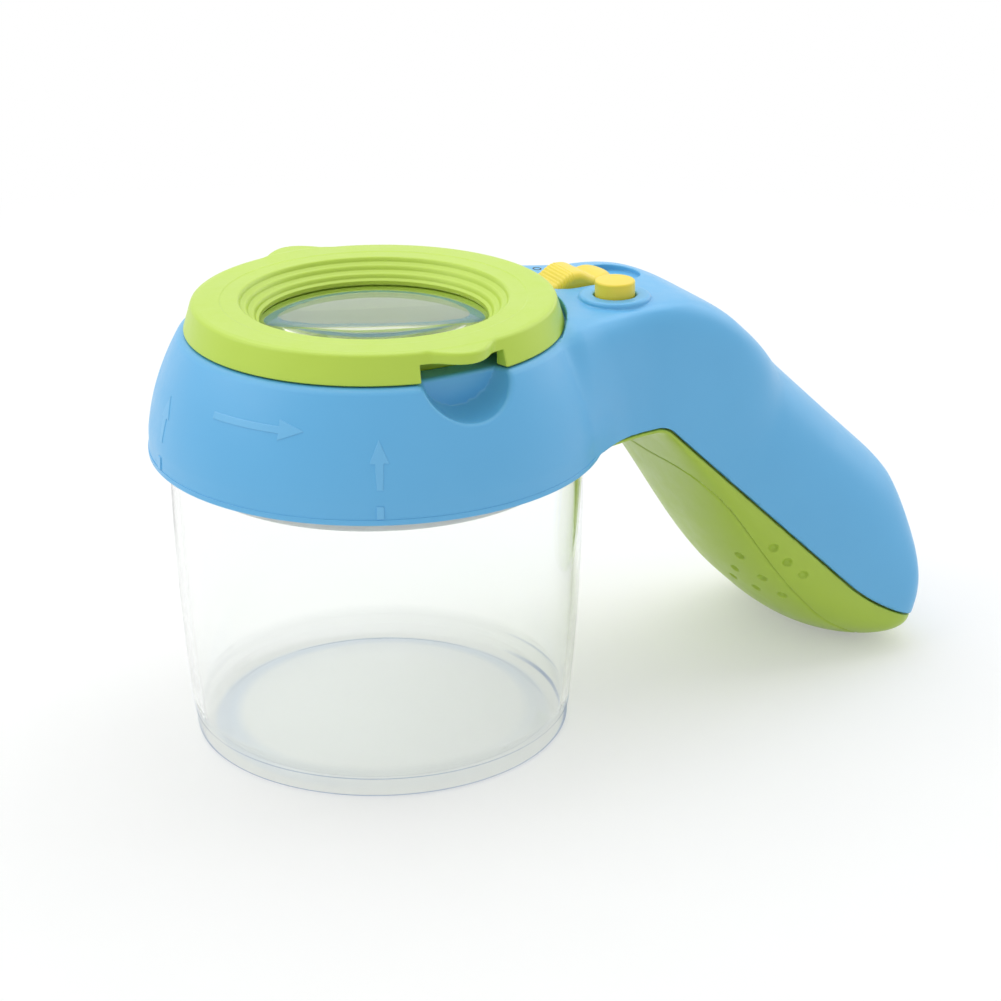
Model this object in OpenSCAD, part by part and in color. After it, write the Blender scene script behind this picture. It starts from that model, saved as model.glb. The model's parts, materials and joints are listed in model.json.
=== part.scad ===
// Bug catcher jar: a clear cup that twists into a lit head with a lift-off magnifier and a bent handle.
// Millimetres, +Z up, the handle along +X. The origin is the centre of the jar's foot on the table.

/* [Jar] */
// Outer radius of the jar at its neck
neck_r = 41; // [36:0.5:46]
// How far the foot's edge lies inside the neck's
foot_in = 3; // [2:0.1:5]
// Height of the jar from the table to its rim
jar_h = 66.5; // [62:0.5:72]
// Wall of the jar
jar_wall = 1.6; // [1.2:0.1:2]
// Thickness of the jar's floor over its underside recess
jar_floor = 1.8; // [1.4:0.1:2.4]
// How far a locking lug stands out of the neck
lug_out = 1.2; // [1:0.1:1.4]

/* [Head] */
// How far the collar reaches down over the jar's rim
collar_grip = 6.9; // [6:0.1:8]
// Height of the head's deck above the jar's rim
head_h = 17; // [16:0.5:20]
// Wall of the mouldings
shell_t = 2; // [1.6:0.1:2.2]
// How far the throat lies inside the lens ring's edge
throat_in = 8.3; // [7.7:0.1:8.7]
// How far the frosted light ring hangs below the jar's rim
light_drop = 11.2; // [8:0.1:14]

/* [Lens ring] */
// Height of the lens ring above the deck
ring_h = 5.6; // [5:0.1:7]
// How far the lens ring's edge lies inside the jar's neck
ring_in = 3.9; // [3.4:0.1:4.5]
// How far the opening over the lens lies inside the ring's edge
eye_in = 14.8; // [14:0.1:16]
// Radius of the lens's curved faces
lens_curve = 110; // [95:1:140]
// How far a finger tab stands out of the ring
tab_out = 4.4; // [3:0.1:4.8]
// Turn of the finger tabs away from square to the handle
tab_turn = 3; // [0:0.5:6]

/* [Handle] */
// Half the handle's width near the head
handle_w = 22.5; // [21:0.5:24]
// Half the handle's width near its tip
handle_tip_w = 26.8; // [24:0.2:28]
// Slope of the handle below the level
handle_slope = 44; // [40:0.5:46]
// Length of the handle below its knee
handle_len = 82.5; // [78:0.5:88]
// Height of the handle's flat top above the deck
top_rise = 1.75; // [1.2:0.05:2.2]
// Height of the blue moulding over the parting line near the tip
top_tip_h = 27.4; // [25:0.1:29]
// Depth of the green belly under the parting line
belly_h = 13.9; // [12.5:0.1:15]

/* [Controls] */
// Radius of the push button
button_r = 4; // [3.4:0.1:4.4]
// Travel of the push button
button_travel = 1.2; // [0.8:0.1:1.4]
// How far the button stands above its raised ring
button_proud = 3; // [2:0.1:4]
// Length of the slide knob
knob_len = 16.3; // [15:0.1:17]
// Travel of the slide knob
knob_travel = 6.2; // [4:0.1:6.6]
// Radius of a battery cell
cell_r = 7.1; // [6.6:0.1:7.2]
// Length of a battery cell
cell_len = 50; // [46:0.5:50.5]

/* [Hidden] */

// One overrun serves every cut
over = 1;
// Clearance of pieces that turn or slide on each other
fit = 0.3;
// Clearance of faces that rest on each other
rest_gap = 0.2;
$fn = 96;

// Radii that follow the neck
foot_r = neck_r - foot_in;
ring_r = neck_r - ring_in;
eye_r = ring_r - eye_in;
throat_r = ring_r - throat_in;
light_in = 3.8;
light_r = neck_r - light_in;

// Jar
foot_ring_w = 3.8;
foot_round = 0.8;
foot_recess = 1.4;
foot_recess_run = 2.4;
band_h = 4.3;
band_step = 0.25;
inner_fillet = 3;
rim_round = 0.6;
bow_h_share = 0.9;
bow_power = 2.3;
wall_steps = 12;
floor_top = foot_recess + jar_floor;

// Locking lugs on the jar and the ledges in the collar that they slide over
lug_count = 4;
lug_h = 1.6;
lug_below_rim = 2.6;
lug_half_angle = 7;
ledge_h = 1.5;
ledge_from_angle = -9;
ledge_to_angle = 45;
stop_half_angle = 2;
lug_z = jar_h - lug_below_rim - lug_h;

// Collar and deck
collar_wall = 1.9;
collar_in_r = neck_r + lug_out + 2 * fit - 0.1 * fit;
collar_r = collar_in_r + collar_wall + fit;
collar_z = jar_h - collar_grip;
stop_z = jar_h + fit;
deck_z = jar_h + head_h;
deck_r = ring_r + 1.5;
shoulder_r = 1.2;
collar_steps = 12;
collar_bow_power = 2;
stop_in = 1;
throat_wall = 2;
throat_drop = 10;
seat_gap = 0.5;
seat_r = ring_r + seat_gap;

// Finger recesses beside the lens ring
recess_r = 9.35;
recess_out = 1.4;
recess_up = 1.8;
recess_back_r = ring_r - 3.6;
recess_skin = 1.8;

// Light ring
light_wall = 1.8;
light_flange = 1.6;
light_sleeve_h = 4.5;
light_sleeve_t = 1.2;
light_top_z = stop_z + 4.2;
socket_t = 1;
socket_h = 3.6;

// Lamp
lamp_r = 2.5;
lamp_body_h = 5.2;
lamp_rim = 0.45;
lamp_rim_h = 1;
lamp_leg = 0.5;
lamp_leg_h = 0.9;
lamp_leg_gap = 2.54;
lamp_at_r = light_r - lamp_r + 0.2;
lamp_tip_gap = 0.5;

// Lens ring, lens and clip
ring_lean = 1.7;
ring_edge_round = 0.9;
ring_skirt_t = 3;
ring_plate_t = 2.4;
ring_top_in = 4.3;
rib_count = 3;
rib_steps = 5;
rib_floor = 0.9;
rib_nose_share = 0.55;
hub_wall = 2.1;
hub_drop = 7.6;
hub_r = throat_r - fit;
tab_half_angle = 14;
tab_blend_power = 0.8;
tab_steps = 20;
tab_t = 2.3;
lens_seat_t = 0.8;
lens_edge_t = 2;
lens_slack = 0.25;
clip_t = 2.2;
clip_w = 2.6;
lens_steps = 10;

// Handle: a spine along the parting line, with a section square to it at each station
root_back = 12.7;
knee_out = 11;
parting_rise = 0.75;
knee_r = 5.5;
end_bend = 28;
end_bend_share = 0.7;
mid_h = 26.6;
mid_h_share = 0.2;
root_belly_h = 1.8;
belly_full_share = 0.64;
root_flare = 4;
flare_len = 22;
side_cap = 12.5;
side_cap_power = 3.7;
top_cap = 32;
top_cap_power = 2.15;
belly_cap = 24;
belly_cap_power = 1.9;
root_square_power = 4.2;
mid_square_power = 2.8;
square_end_share = 0.25;
belly_square_power = 2.25;
tip_share = 0.972;
floor_min_t = 0.2;
seam_gap = 0.7;
belly_inset = 0.5;
tongue_up = 1.6;
tongue_down = 2.4;
tongue_t = 1;
tongue_share = 0.3;
tongue_gap = 0.2;
top_steps = 22;
belly_steps = 18;
root_x = collar_in_r - root_back;
parting_z = collar_z + parting_rise;
control_z = deck_z + top_rise;
top_h = control_z - parting_z;
spine_1 = knee_out + root_back - knee_r * tan(handle_slope / 2);
spine_2 = spine_1 + knee_r * handle_slope * PI / 180;
spine_3 = spine_2 + end_bend_share * handle_len;
spine_4 = spine_2 + handle_len;
end_r = (spine_4 - spine_3) / (end_bend * PI / 180);

// Battery door, box and cells, placed by their distance along the spine
door_from = 10.6;
door_to_end = 6.2;
door_half_w = 21;
door_root_power = 3.2;
door_tip_power = 5;
door_steps = 48;
door_gap = 0.25;
door_t = 1.6;
cell_v = 2.6;
cell_side_gap = 0.3;
contact_room = 2.3;
box_from = 18.6;
box_wall = 1.2;
ledge_skin = 1.2;
ledge_out = 1.5;
ledge_skip_count = 7;
nub_r = 2.6;
nub_h = 1;
door_screw_back = 4;
door_screw_len = 7;
door_screw_sink = 0.9;
door_cup_wall = 1;
door_boss_r = 4.6;
plate_t = 0.4;
spring_wire = 0.35;
contact_spring_r = 4;
contact_spring_turns = 3;
contact_r = 4.7;

// Screws
screw_r = 1.2;
screw_head_r = 2.3;
screw_head_h = 1.3;
screw_hole_gap = 0.2;
boss_r = 3;
root_screw_s = 15.2;
root_screw_y = 12;
root_screw_head_v = 2.2;
shell_screw_len = 9;

// Wires
wire_r = 0.5;
wire_sides = 8;
lamp_wire_y = 4.6;
lamp_wire_x = 0.5;
lamp_wire_end = 3;
battery_wire_v = 3;
battery_wire_out = 3.5;
battery_wire_end = 5;

// Controls on top of the handle
button_out = 2.2;
button_x = collar_r + button_out;
button_y = -11.4;
button_ring_r = 7;
button_ring_h = 0.8;
button_gap = 0.25;
button_edge = 0.5;
button_flange = 1.2;
button_flange_t = 1;
button_stem_r = 2.2;
pad_drop = 2.7;
track_y = 4.4;
track_half_w = 6;
track_depth = 1.6;
track_floor_t = 1.5;
track_slack = 0.3;
knob_x = seat_r + 0.7;
knob_half_w = 5;
knob_base_h = 0.9;
knob_gap = 0.3;
knob_steps = 48;
knob_stem_x = 6.5;
knob_stem_len = 3.2;
knob_stem_w = 3.6;
knob_hook = 1.2;
knob_hook_t = 0.9;
crest_1 = 2.6;
crest_1_at_share = 0.4;
crest_1_half_share = 0.25;
crest_2 = 1.5;
crest_2_at_share = 0.79;
crest_2_half_share = 0.21;
ripple = 0.12;
ripple_pitch = 1;
ripple_from_share = 0.16;
ripple_to_share = 0.42;
slot_gap = 0.3;

// Board under the controls
board_drop = 11.2;
board_t = 1.6;
board_z = control_z - board_drop;
board_gap = 0.9;
board_x0 = board_gap + collar_out((board_z - board_t - collar_z) / (deck_z - shoulder_r - collar_z));
board_len = 22.9;
board_y0 = -18.5;
board_y1 = 17;
board_screw_r = 0.9;
board_screw_head_r = 1.9;
board_screw_head_h = 0.9;
board_boss_r = 2.4;
board_screw_len = 4.5;
switch_w = 4.6;
switch_h = 3.4;
lever_w = 1.6;
lever_len = 2;
lever_up = 3.2;
press_w = 6;
press_h = 3.4;
press_r = 1.7;
press_up = 0.8;
spring_r = 4.8;
spring_turns = 5;

function smooth(t) = t <= 0 ? 0 : t >= 1 ? 1 : t * t * (3 - 2 * t);
function mix(a, b, t) = a + (b - a) * smooth(t);
function cap(s, length, power) =
    s > spine_4 - length ? pow(1 - pow(min(1, (s - spine_4 + length) / length), power), 1 / power) : 1;

// The jar's outer radius at a height
function jar_r(z) = foot_r + (neck_r - foot_r) * (1 - pow(max(0, 1 - z / (bow_h_share * jar_h)), bow_power));
// The collar's outer radius at a share of its height
function collar_out(u) = collar_r - (collar_r - deck_r) * pow(u, collar_bow_power);

// Spine of the handle: direction below the level, and place in the XZ plane
function spine_angle(s) =
    s < spine_1 ? 0 :
    s < spine_2 ? (s - spine_1) / knee_r * 180 / PI :
    s < spine_3 ? handle_slope :
    handle_slope - (s - spine_3) / end_r * 180 / PI;
function spine_xz(s) =
    s <= spine_1 ? [root_x + s, parting_z] :
    s <= spine_2 ? spine_xz(spine_1) + knee_r * [sin(spine_angle(s)), cos(spine_angle(s)) - 1] :
    s <= spine_3 ? spine_xz(spine_2) + (s - spine_2) * [cos(handle_slope), -sin(handle_slope)] :
    spine_xz(spine_3) + end_r * [sin(handle_slope) - sin(spine_angle(s)),
        cos(handle_slope) - cos(spine_angle(s))];

// Half width, height over and depth under the spine, before an inner skin is set back by "skin"
function half_w(s) = mix(handle_w, handle_tip_w, (s - spine_2) / handle_len)
    + root_flare * (1 - smooth(s / flare_len));
function over_h(s) = s < spine_2 + mid_h_share * handle_len
    ? mix(top_h, mid_h, s / (spine_2 + mid_h_share * handle_len))
    : mix(mid_h, top_tip_h, (s - spine_2 - mid_h_share * handle_len) / ((1 - mid_h_share) * handle_len));
function under_h(s) = mix(root_belly_h, belly_h,
    (s - spine_1) / (spine_2 - spine_1 + belly_full_share * handle_len));
function square_power(s) = mix(root_square_power, mid_square_power,
    (s - spine_1 / 2) / (spine_1 / 2 + spine_2 - spine_1 + square_end_share * handle_len));

// Stations along the spine, closer together at the knee and towards the tip
stations = concat([0, spine_1 / 2], [for (i = [0:4]) spine_1 + (spine_2 - spine_1) * i / 4],
    [for (i = [1:9]) spine_2 + (spine_3 - spine_2) * i / 9],
    [for (i = [1:14]) spine_3 + (spine_4 - spine_3) * sin(90 * tip_share * i / 14) / sin(90 * tip_share)
        * (1 - (1 - tip_share) * (1 - tip_share))]);

// A point of a section: side and rise in its own plane, carried to the station
function at_station(s, skin, y, v) =
    let (r = s * (spine_4 - skin) / spine_4, p = spine_xz(r), a = spine_angle(r))
    [p[0] + v * sin(a), y, p[1] + v * cos(a)];
function bulge(t, power) = [sign(sin(t)) * pow(abs(sin(t)), 2 / power), pow(abs(cos(t)), 2 / power)];
function top_point(s, skin, t) =
    let (b = bulge(t, square_power(s)))
    at_station(s, skin, b[0] * cap(s, side_cap, side_cap_power) * (half_w(s) - skin),
        b[1] * cap(s, top_cap, top_cap_power) * (over_h(s) - skin));
function belly_point(s, skin, t) =
    let (b = bulge(t, belly_square_power), drop = max(under_h(s) - seam_gap - skin, floor_min_t))
    at_station(s, skin, b[0] * cap(s, side_cap, side_cap_power) * (half_w(s) - belly_inset - skin),
        -seam_gap - b[1] * cap(s, belly_cap, belly_cap_power) * drop);
function rim_point(s, skin, side, v) =
    at_station(s, skin, side * cap(s, side_cap, side_cap_power) * (half_w(s) - skin), v);

// A closed half shell from two rings of points per station: an outer one and one set back
module half_shell(outer, inner) {
    n = len(outer);
    m = len(outer[0]);
    ring = 2 * m;
    points = [for (i = [0:n - 1]) for (j = [0:ring - 1]) j < m ? outer[i][j] : inner[i][ring - 1 - j]];
    skins = [for (i = [0:n - 2]) for (j = [0:ring - 1])
        let (a = i * ring + j, b = i * ring + (j + 1) % ring) each [[a, b, b + ring], [a, b + ring, a + ring]]];
    start = [for (j = [0:m - 2]) each [[j, ring - 1 - j, j + 1], [j + 1, ring - 1 - j, ring - 2 - j]]];
    last = (n - 1) * ring;
    outer_end = [for (j = [m - 1:-1:0]) last + j];
    inner_end = [for (j = [ring - 1:-1:m]) last + j];
    foot_end = [[last, last + m - 1, last + m], [last, last + m, last + ring - 1]];
    faces = concat(skins, start, [outer_end], [inner_end], foot_end);
    polyhedron(points, [for (f = faces) [for (k = [len(f) - 1:-1:0]) f[k]]]);
}

// A closed solid through one ring of points per station
module closed_loft(rows) {
    n = len(rows);
    m = len(rows[0]);
    skins = [for (i = [0:n - 2]) for (j = [0:m - 1])
        let (a = i * m + j, b = i * m + (j + 1) % m) each [[a, b + m, b], [a, a + m, b + m]]];
    polyhedron([for (row = rows) each row],
        concat(skins, [[for (j = [m - 1:-1:0]) j]], [[for (j = [0:m - 1]) (n - 1) * m + j]]));
}

// Everything inside the top moulding, and everything inside the belly carried up into the handle
module top_body(skin) {
    closed_loft([for (s = stations) [for (j = [0:top_steps]) top_point(s, skin, -90 + 180 * j / top_steps)]]);
}
module belly_body(skin) {
    closed_loft([for (s = stations) concat([rim_point(s, skin + belly_inset, 1, top_h)],
        [for (j = [0:belly_steps]) belly_point(s, skin, 90 - 180 * j / belly_steps)],
        [rim_point(s, skin + belly_inset, -1, top_h)])]);
}

module top_shell(skin) {
    half_shell(
        [for (s = stations) [for (j = [0:top_steps]) top_point(s, 0, -90 + 180 * j / top_steps)]],
        [for (s = stations) [for (j = [0:top_steps]) top_point(s, skin, -90 + 180 * j / top_steps)]]);
}

module belly_shell(from_skin, to_skin, first) {
    ways = [for (i = [first:len(stations) - 1]) stations[i]];
    half_shell(
        [for (s = ways) [for (j = [0:belly_steps]) belly_point(s, from_skin, 90 - 180 * j / belly_steps)]],
        [for (s = ways) [for (j = [0:belly_steps]) belly_point(s, to_skin, 90 - 180 * j / belly_steps)]]);
}

// Stands its children at a distance along the straight of the handle, +X down the slope
module on_slope(s) {
    p = spine_xz(spine_2) + (s - spine_2) * [cos(handle_slope), -sin(handle_slope)];
    translate([p[0], 0, p[1]]) rotate([0, handle_slope, 0]) children();
}

// Copies its children round the jar's axis
module around(count) {
    for (i = [0:count - 1]) rotate([0, 0, i * 360 / count]) children();
}

module arc_block(from, to, r0, r1, z0, z1) {
    rotate([0, 0, from]) rotate_extrude(angle = to - from)
        polygon([[r0, z0], [r1, z0], [r1, z1], [r0, z1]]);
}

module tube(r0, r1, z0, z1) {
    difference() {
        translate([0, 0, z0]) cylinder(r = r1, h = z1 - z0);
        translate([0, 0, z0 - over]) cylinder(r = r0, h = z1 - z0 + 2 * over);
    }
}

// A helix of round wire standing on its lower end, from one radius to another
module coil(r0, r1, wire, turns, height, per_turn, sides) {
    n = turns * per_turn;
    rise = (height - 2 * wire) / n;
    points = [for (i = [0:n]) for (k = [0:sides - 1])
        let (a = 360 * i / per_turn, b = 360 * k / sides, r = r0 + (r1 - r0) * i / n + wire * cos(b))
        [r * cos(a), r * sin(a), wire + rise * i + wire * sin(b)]];
    skins = [for (i = [0:n - 1]) for (k = [0:sides - 1])
        let (a = i * sides + k, b = i * sides + (k + 1) % sides) each [[a, b, b + sides], [a, b + sides, a + sides]]];
    polyhedron(points, concat(skins, [[for (k = [sides - 1:-1:0]) k]], [[for (k = [0:sides - 1]) n * sides + k]]));
}

module jar() {
    wall_top = jar_h - rim_round;
    color([0.93, 0.96, 0.96, 0.35]) {
        rotate_extrude() polygon(concat(
            [[0, foot_recess], [foot_r - foot_ring_w - foot_recess_run, foot_recess]],
            [[foot_r - foot_ring_w, 0], [foot_r - foot_round, 0], [foot_r, foot_round]],
            [[jar_r(band_h) - band_step, band_h - band_step]],
            [for (i = [0:wall_steps]) let (z = band_h + (wall_top - band_h) * i / wall_steps) [jar_r(z), z]],
            [[neck_r - rim_round, jar_h], [neck_r - jar_wall + rim_round, jar_h], [neck_r - jar_wall, wall_top]],
            [for (i = [wall_steps:-1:1])
                let (z = floor_top + inner_fillet + (wall_top - floor_top - inner_fillet) * (i - 1) / wall_steps)
                [jar_r(z) - jar_wall, z]],
            [for (a = [15:15:90]) let (c = jar_r(floor_top + inner_fillet) - jar_wall - inner_fillet)
                [c + inner_fillet * cos(a), floor_top + inner_fillet - inner_fillet * sin(a)]],
            [[0, floor_top]]));
        around(lug_count)
            arc_block(-lug_half_angle, lug_half_angle, neck_r - jar_wall / 2, neck_r + lug_out, lug_z, lug_z + lug_h);
    }
}

// Outside of the collar and deck, from the axis out and down
function collar_profile() = concat(
    [[0, collar_z], [collar_out(0), collar_z]],
    [for (i = [1:collar_steps])
        let (u = i / collar_steps) [collar_out(u), collar_z + u * (deck_z - collar_z - shoulder_r)]],
    [for (a = [30:30:90]) [deck_r - shoulder_r + shoulder_r * cos(a), deck_z - shoulder_r + shoulder_r * sin(a)]],
    [[0, deck_z]]);

// Hollow of the collar, with the step that the jar's rim stops at
function hollow_profile() = concat(
    [[0, collar_z - over], [collar_in_r, collar_z - over], [collar_in_r, stop_z],
        [neck_r - stop_in, stop_z]],
    [for (i = [1:collar_steps]) let (u = i / collar_steps, z = collar_z + u * (deck_z - collar_z - shoulder_r))
        if (z > stop_z + shell_t && z < deck_z - shell_t - shoulder_r)
            [min(collar_out(u) - collar_wall - fit, neck_r - stop_in), z]],
    [[collar_out(1) - shell_t - shoulder_r, deck_z - shell_t], [0, deck_z - shell_t]]);

module at_tabs() {
    for (a = [-90, 90]) rotate([0, 0, a + tab_turn]) children();
}

module recess_ball(skin) {
    difference() {
        translate([ring_r + recess_out, 0, deck_z + recess_up]) sphere(r = recess_r + skin);
        translate([0, 0, deck_z - 2 * recess_r]) cylinder(r = recess_back_r - skin, h = 4 * recess_r);
    }
}

module track_shape(half_w, from, to) {
    translate([from, track_y - half_w]) square([to - half_w - from, 2 * half_w]);
    translate([to - half_w, track_y]) circle(r = half_w);
}

track_end = knob_x + knob_len + knob_travel + track_slack;
stem_x = knob_x + knob_stem_x;

// The shells' screws stand under the battery door, between its root end and the cells
module at_root_screws() {
    for (y = [-1, 1]) on_slope(spine_2 + root_screw_s) translate([0, y * root_screw_y, 0]) children();
}

module upper_shell() {
    ledge_z = lug_z - fit - ledge_h;
    color([0.45, 0.73, 0.93]) difference() {
        union() {
            difference() {
                union() {
                    rotate_extrude() polygon(collar_profile());
                    top_shell(shell_t);
                    translate([0, 0, control_z - track_depth - track_floor_t])
                        linear_extrude(track_depth + track_floor_t - fit)
                        track_shape(track_half_w + shell_t, seat_r - shell_t, track_end + shell_t);
                    translate([button_x, button_y, control_z - pad_drop])
                        cylinder(r = button_ring_r, h = pad_drop + button_ring_h);
                }
                rotate_extrude() polygon(hollow_profile());
            }
            at_tabs() intersection() {
                recess_ball(recess_skin);
                rotate_extrude() polygon(collar_profile());
            }
            tube(throat_r, throat_r + throat_wall, deck_z - throat_drop, deck_z - shell_t / 2);
            around(lug_count) {
                arc_block(ledge_from_angle, ledge_to_angle, neck_r + fit, collar_in_r + collar_wall / 2,
                    ledge_z, ledge_z + ledge_h);
                arc_block(ledge_from_angle - 2 * stop_half_angle, ledge_from_angle, neck_r + fit,
                    collar_in_r + collar_wall / 2, ledge_z, stop_z + fit);
            }
            intersection() {
                union() {
                    for (b = board_posts) translate([b[0], b[1], board_z + rest_gap])
                        cylinder(r = board_boss_r, h = 2 * board_drop);
                    at_root_screws() translate([0, 0, seam_gap]) cylinder(r = boss_r, h = 2 * top_h);
                }
                top_body(shell_t / 2);
            }
        }
        translate([0, 0, deck_z]) cylinder(r = seat_r, h = control_z - deck_z + over + button_ring_h);
        translate([0, 0, deck_z - 2 * shell_t]) cylinder(r = throat_r, h = 3 * shell_t);
        at_tabs() recess_ball(0);
        translate([0, 0, control_z - track_depth]) linear_extrude(track_depth + over)
            track_shape(track_half_w, seat_r - over, track_end);
        translate([stem_x - slot_gap, track_y - knob_stem_w / 2 - slot_gap, control_z - 2 * pad_drop])
            cube([knob_stem_len + knob_travel + 2 * slot_gap, knob_stem_w + 2 * slot_gap, 3 * pad_drop]);
        translate([button_x, button_y, control_z - 2 * pad_drop])
            cylinder(r = button_r + button_gap, h = 4 * pad_drop);
        translate([button_x, button_y, control_z - 2 * pad_drop])
            cylinder(r = button_r + button_flange + fit, h = pad_drop);
        translate([collar_in_r - 2 * collar_wall, -lamp_at_r / 4, light_top_z])
            cube([4 * collar_wall, lamp_at_r / 2, board_z - light_top_z]);
        for (b = board_posts) translate([b[0], b[1], board_z])
            cylinder(r = board_screw_r - screw_hole_gap / 2, h = board_screw_len);
        at_root_screws() cylinder(r = screw_r - screw_hole_gap / 2, h = shell_screw_len);
    }
}

// Places of the board's posts
board_posts = [[board_x0 + board_boss_r, board_y1 - board_boss_r],
    [board_x0 + board_len - board_boss_r, board_y1 - board_boss_r],
    [board_x0 + board_len - board_boss_r, board_y0 + board_boss_r]];

// Depth of the door's face at its screw, and the cup that the screw's head sinks into
door_depth = under_h(spine_2 + box_from - door_screw_back);
door_cup_r = screw_head_r + screw_hole_gap + door_cup_wall;
door_cup_end = door_screw_sink + screw_head_h + rest_gap / 2 + door_cup_wall - door_depth;

// Outline of the battery door seen square to the slope
door_mid = (spine_2 + door_from + spine_4 - door_to_end) / 2;
door_half_len = (spine_4 - door_to_end - spine_2 - door_from) / 2;
module door_outline(gap) {
    polygon([for (i = [0:door_steps - 1])
        let (a = 360 * i / door_steps, power = cos(a) > 0 ? door_tip_power : door_root_power)
        [sign(cos(a)) * pow(abs(cos(a)), 2 / power) * (door_half_len - gap),
            sign(sin(a)) * pow(abs(sin(a)), 2 / power) * (door_half_w - gap)]]);
}
module door_prism(gap) {
    on_slope(door_mid) translate([0, 0, -2 * belly_h]) linear_extrude(3 * belly_h) door_outline(gap);
}

// Lip of the lower shell that closes the seam from inside, all the way round the tip
function tongue_low(s) = min(tongue_down, seam_gap + tongue_share * (under_h(s) - seam_gap));
module seam_tongue() {
    n = len(stations);
    first = 2;
    path = concat([for (i = [first:n - 1]) [stations[i], -1]], [for (i = [n - 1:-1:first]) [stations[i], 1]]);
    skin = shell_t + tongue_gap;
    points = [for (p = path) each [
        rim_point(p[0], skin, p[1], -tongue_low(p[0])), rim_point(p[0], skin, p[1], tongue_up),
        rim_point(p[0], skin + tongue_t, p[1], tongue_up), rim_point(p[0], skin + tongue_t, p[1], -tongue_low(p[0]))]];
    m = len(path);
    skins = [for (i = [0:m - 2]) for (k = [0:3])
        let (a = 4 * i + k, b = 4 * i + (k + 1) % 4) each [[a, b, b + 4], [a, b + 4, a + 4]]];
    polyhedron(points, concat(skins, [[3, 2, 1, 0]], [[for (k = [0:3]) 4 * (m - 1) + k]]));
}

module lower_shell() {
    color([0.62, 0.77, 0.27]) difference() {
        union() {
            difference() {
                belly_shell(0, shell_t, 0);
                door_prism(0);
            }
            seam_tongue();
            intersection() {
                belly_shell(shell_t - rest_gap, shell_t + ledge_skin, ledge_skip_count);
                door_prism(-ledge_out);
            }
            intersection() {
                union() {
                    on_slope(spine_2 + box_from) translate([0, -box_half_w, -belly_h])
                        cube([box_len, 2 * box_half_w, belly_h + cell_v + cell_r + cell_side_gap + box_wall]);
                    at_root_screws() translate([0, 0, -belly_h]) cylinder(r = boss_r, h = belly_h + seam_gap / 2);
                    at_door_screw() translate([0, 0, -belly_h]) cylinder(r = door_boss_r, h = 2 * belly_h - cell_r);
                }
                belly_body(shell_t - rest_gap / 2);
            }
        }
        on_slope(spine_2 + box_from) translate([box_wall, -box_half_w + box_wall, -2 * belly_h])
            cube([box_len - 2 * box_wall, 2 * (box_half_w - box_wall), 2 * belly_h + cell_v + cell_r + cell_side_gap]);
        translate([0, 0, parting_z - 2 * belly_h]) cylinder(r = collar_r + fit, h = 3 * belly_h);
        at_root_screws() translate([0, 0, -belly_h]) {
            cylinder(r = screw_r + screw_hole_gap, h = 2 * belly_h);
            cylinder(r = screw_head_r + screw_hole_gap, h = belly_h - root_screw_head_v + screw_head_h);
        }
        at_door_screw() translate([0, 0, -belly_h]) {
            cylinder(r = screw_r - screw_hole_gap / 2, h = 2 * belly_h - cell_r - over);
            cylinder(r = door_cup_r + rest_gap, h = belly_h + door_cup_end + rest_gap);
        }
        for (y = [-1, 1]) on_slope(spine_2 + box_from)
            translate([-over, y * (cell_r + cell_side_gap / 2), cell_v + battery_wire_v]) rotate([0, 90, 0])
            cylinder(r = wire_r + screw_hole_gap, h = box_wall + 2 * over);
    }
}

// The door's screw stands on the slope just short of the cells
module at_door_screw() {
    on_slope(spine_2 + box_from - door_screw_back) children();
}

module battery_door() {
    color([0.62, 0.77, 0.27]) difference() {
        union() {
            intersection() {
                belly_shell(0, door_t, ledge_skip_count);
                door_prism(door_gap);
            }
            intersection() {
                at_door_screw() translate([0, 0, -belly_h]) cylinder(r = door_cup_r, h = belly_h + door_cup_end);
                belly_body(door_t / 2);
            }
        }
        at_door_screw() translate([0, 0, -2 * belly_h]) {
            cylinder(r = screw_r + screw_hole_gap, h = 3 * belly_h);
            cylinder(r = screw_head_r + screw_hole_gap, h = 2 * belly_h + door_cup_end - door_cup_wall);
        }
    }
}

// Compartment for the cells, open towards the door
box_len = cell_len + 2 * contact_room + 2 * box_wall;
box_half_w = 2 * cell_r + 2 * cell_side_gap + box_wall;

module at_cell(side, x) {
    on_slope(spine_2 + box_from) translate([x, side * (cell_r + cell_side_gap / 2), cell_v])
        rotate([0, 90, 0]) children();
}
module battery_left() {
    color([0.25, 0.26, 0.28]) at_cell(1, box_wall + contact_room) {
        cylinder(r = cell_r, h = cell_len - nub_h);
        cylinder(r = nub_r, h = cell_len);
    }
}
module battery_right() {
    color([0.25, 0.26, 0.28]) at_cell(-1, box_wall + contact_room) {
        translate([0, 0, nub_h]) cylinder(r = cell_r, h = cell_len - nub_h);
        cylinder(r = nub_r, h = cell_len);
    }
}

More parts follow.
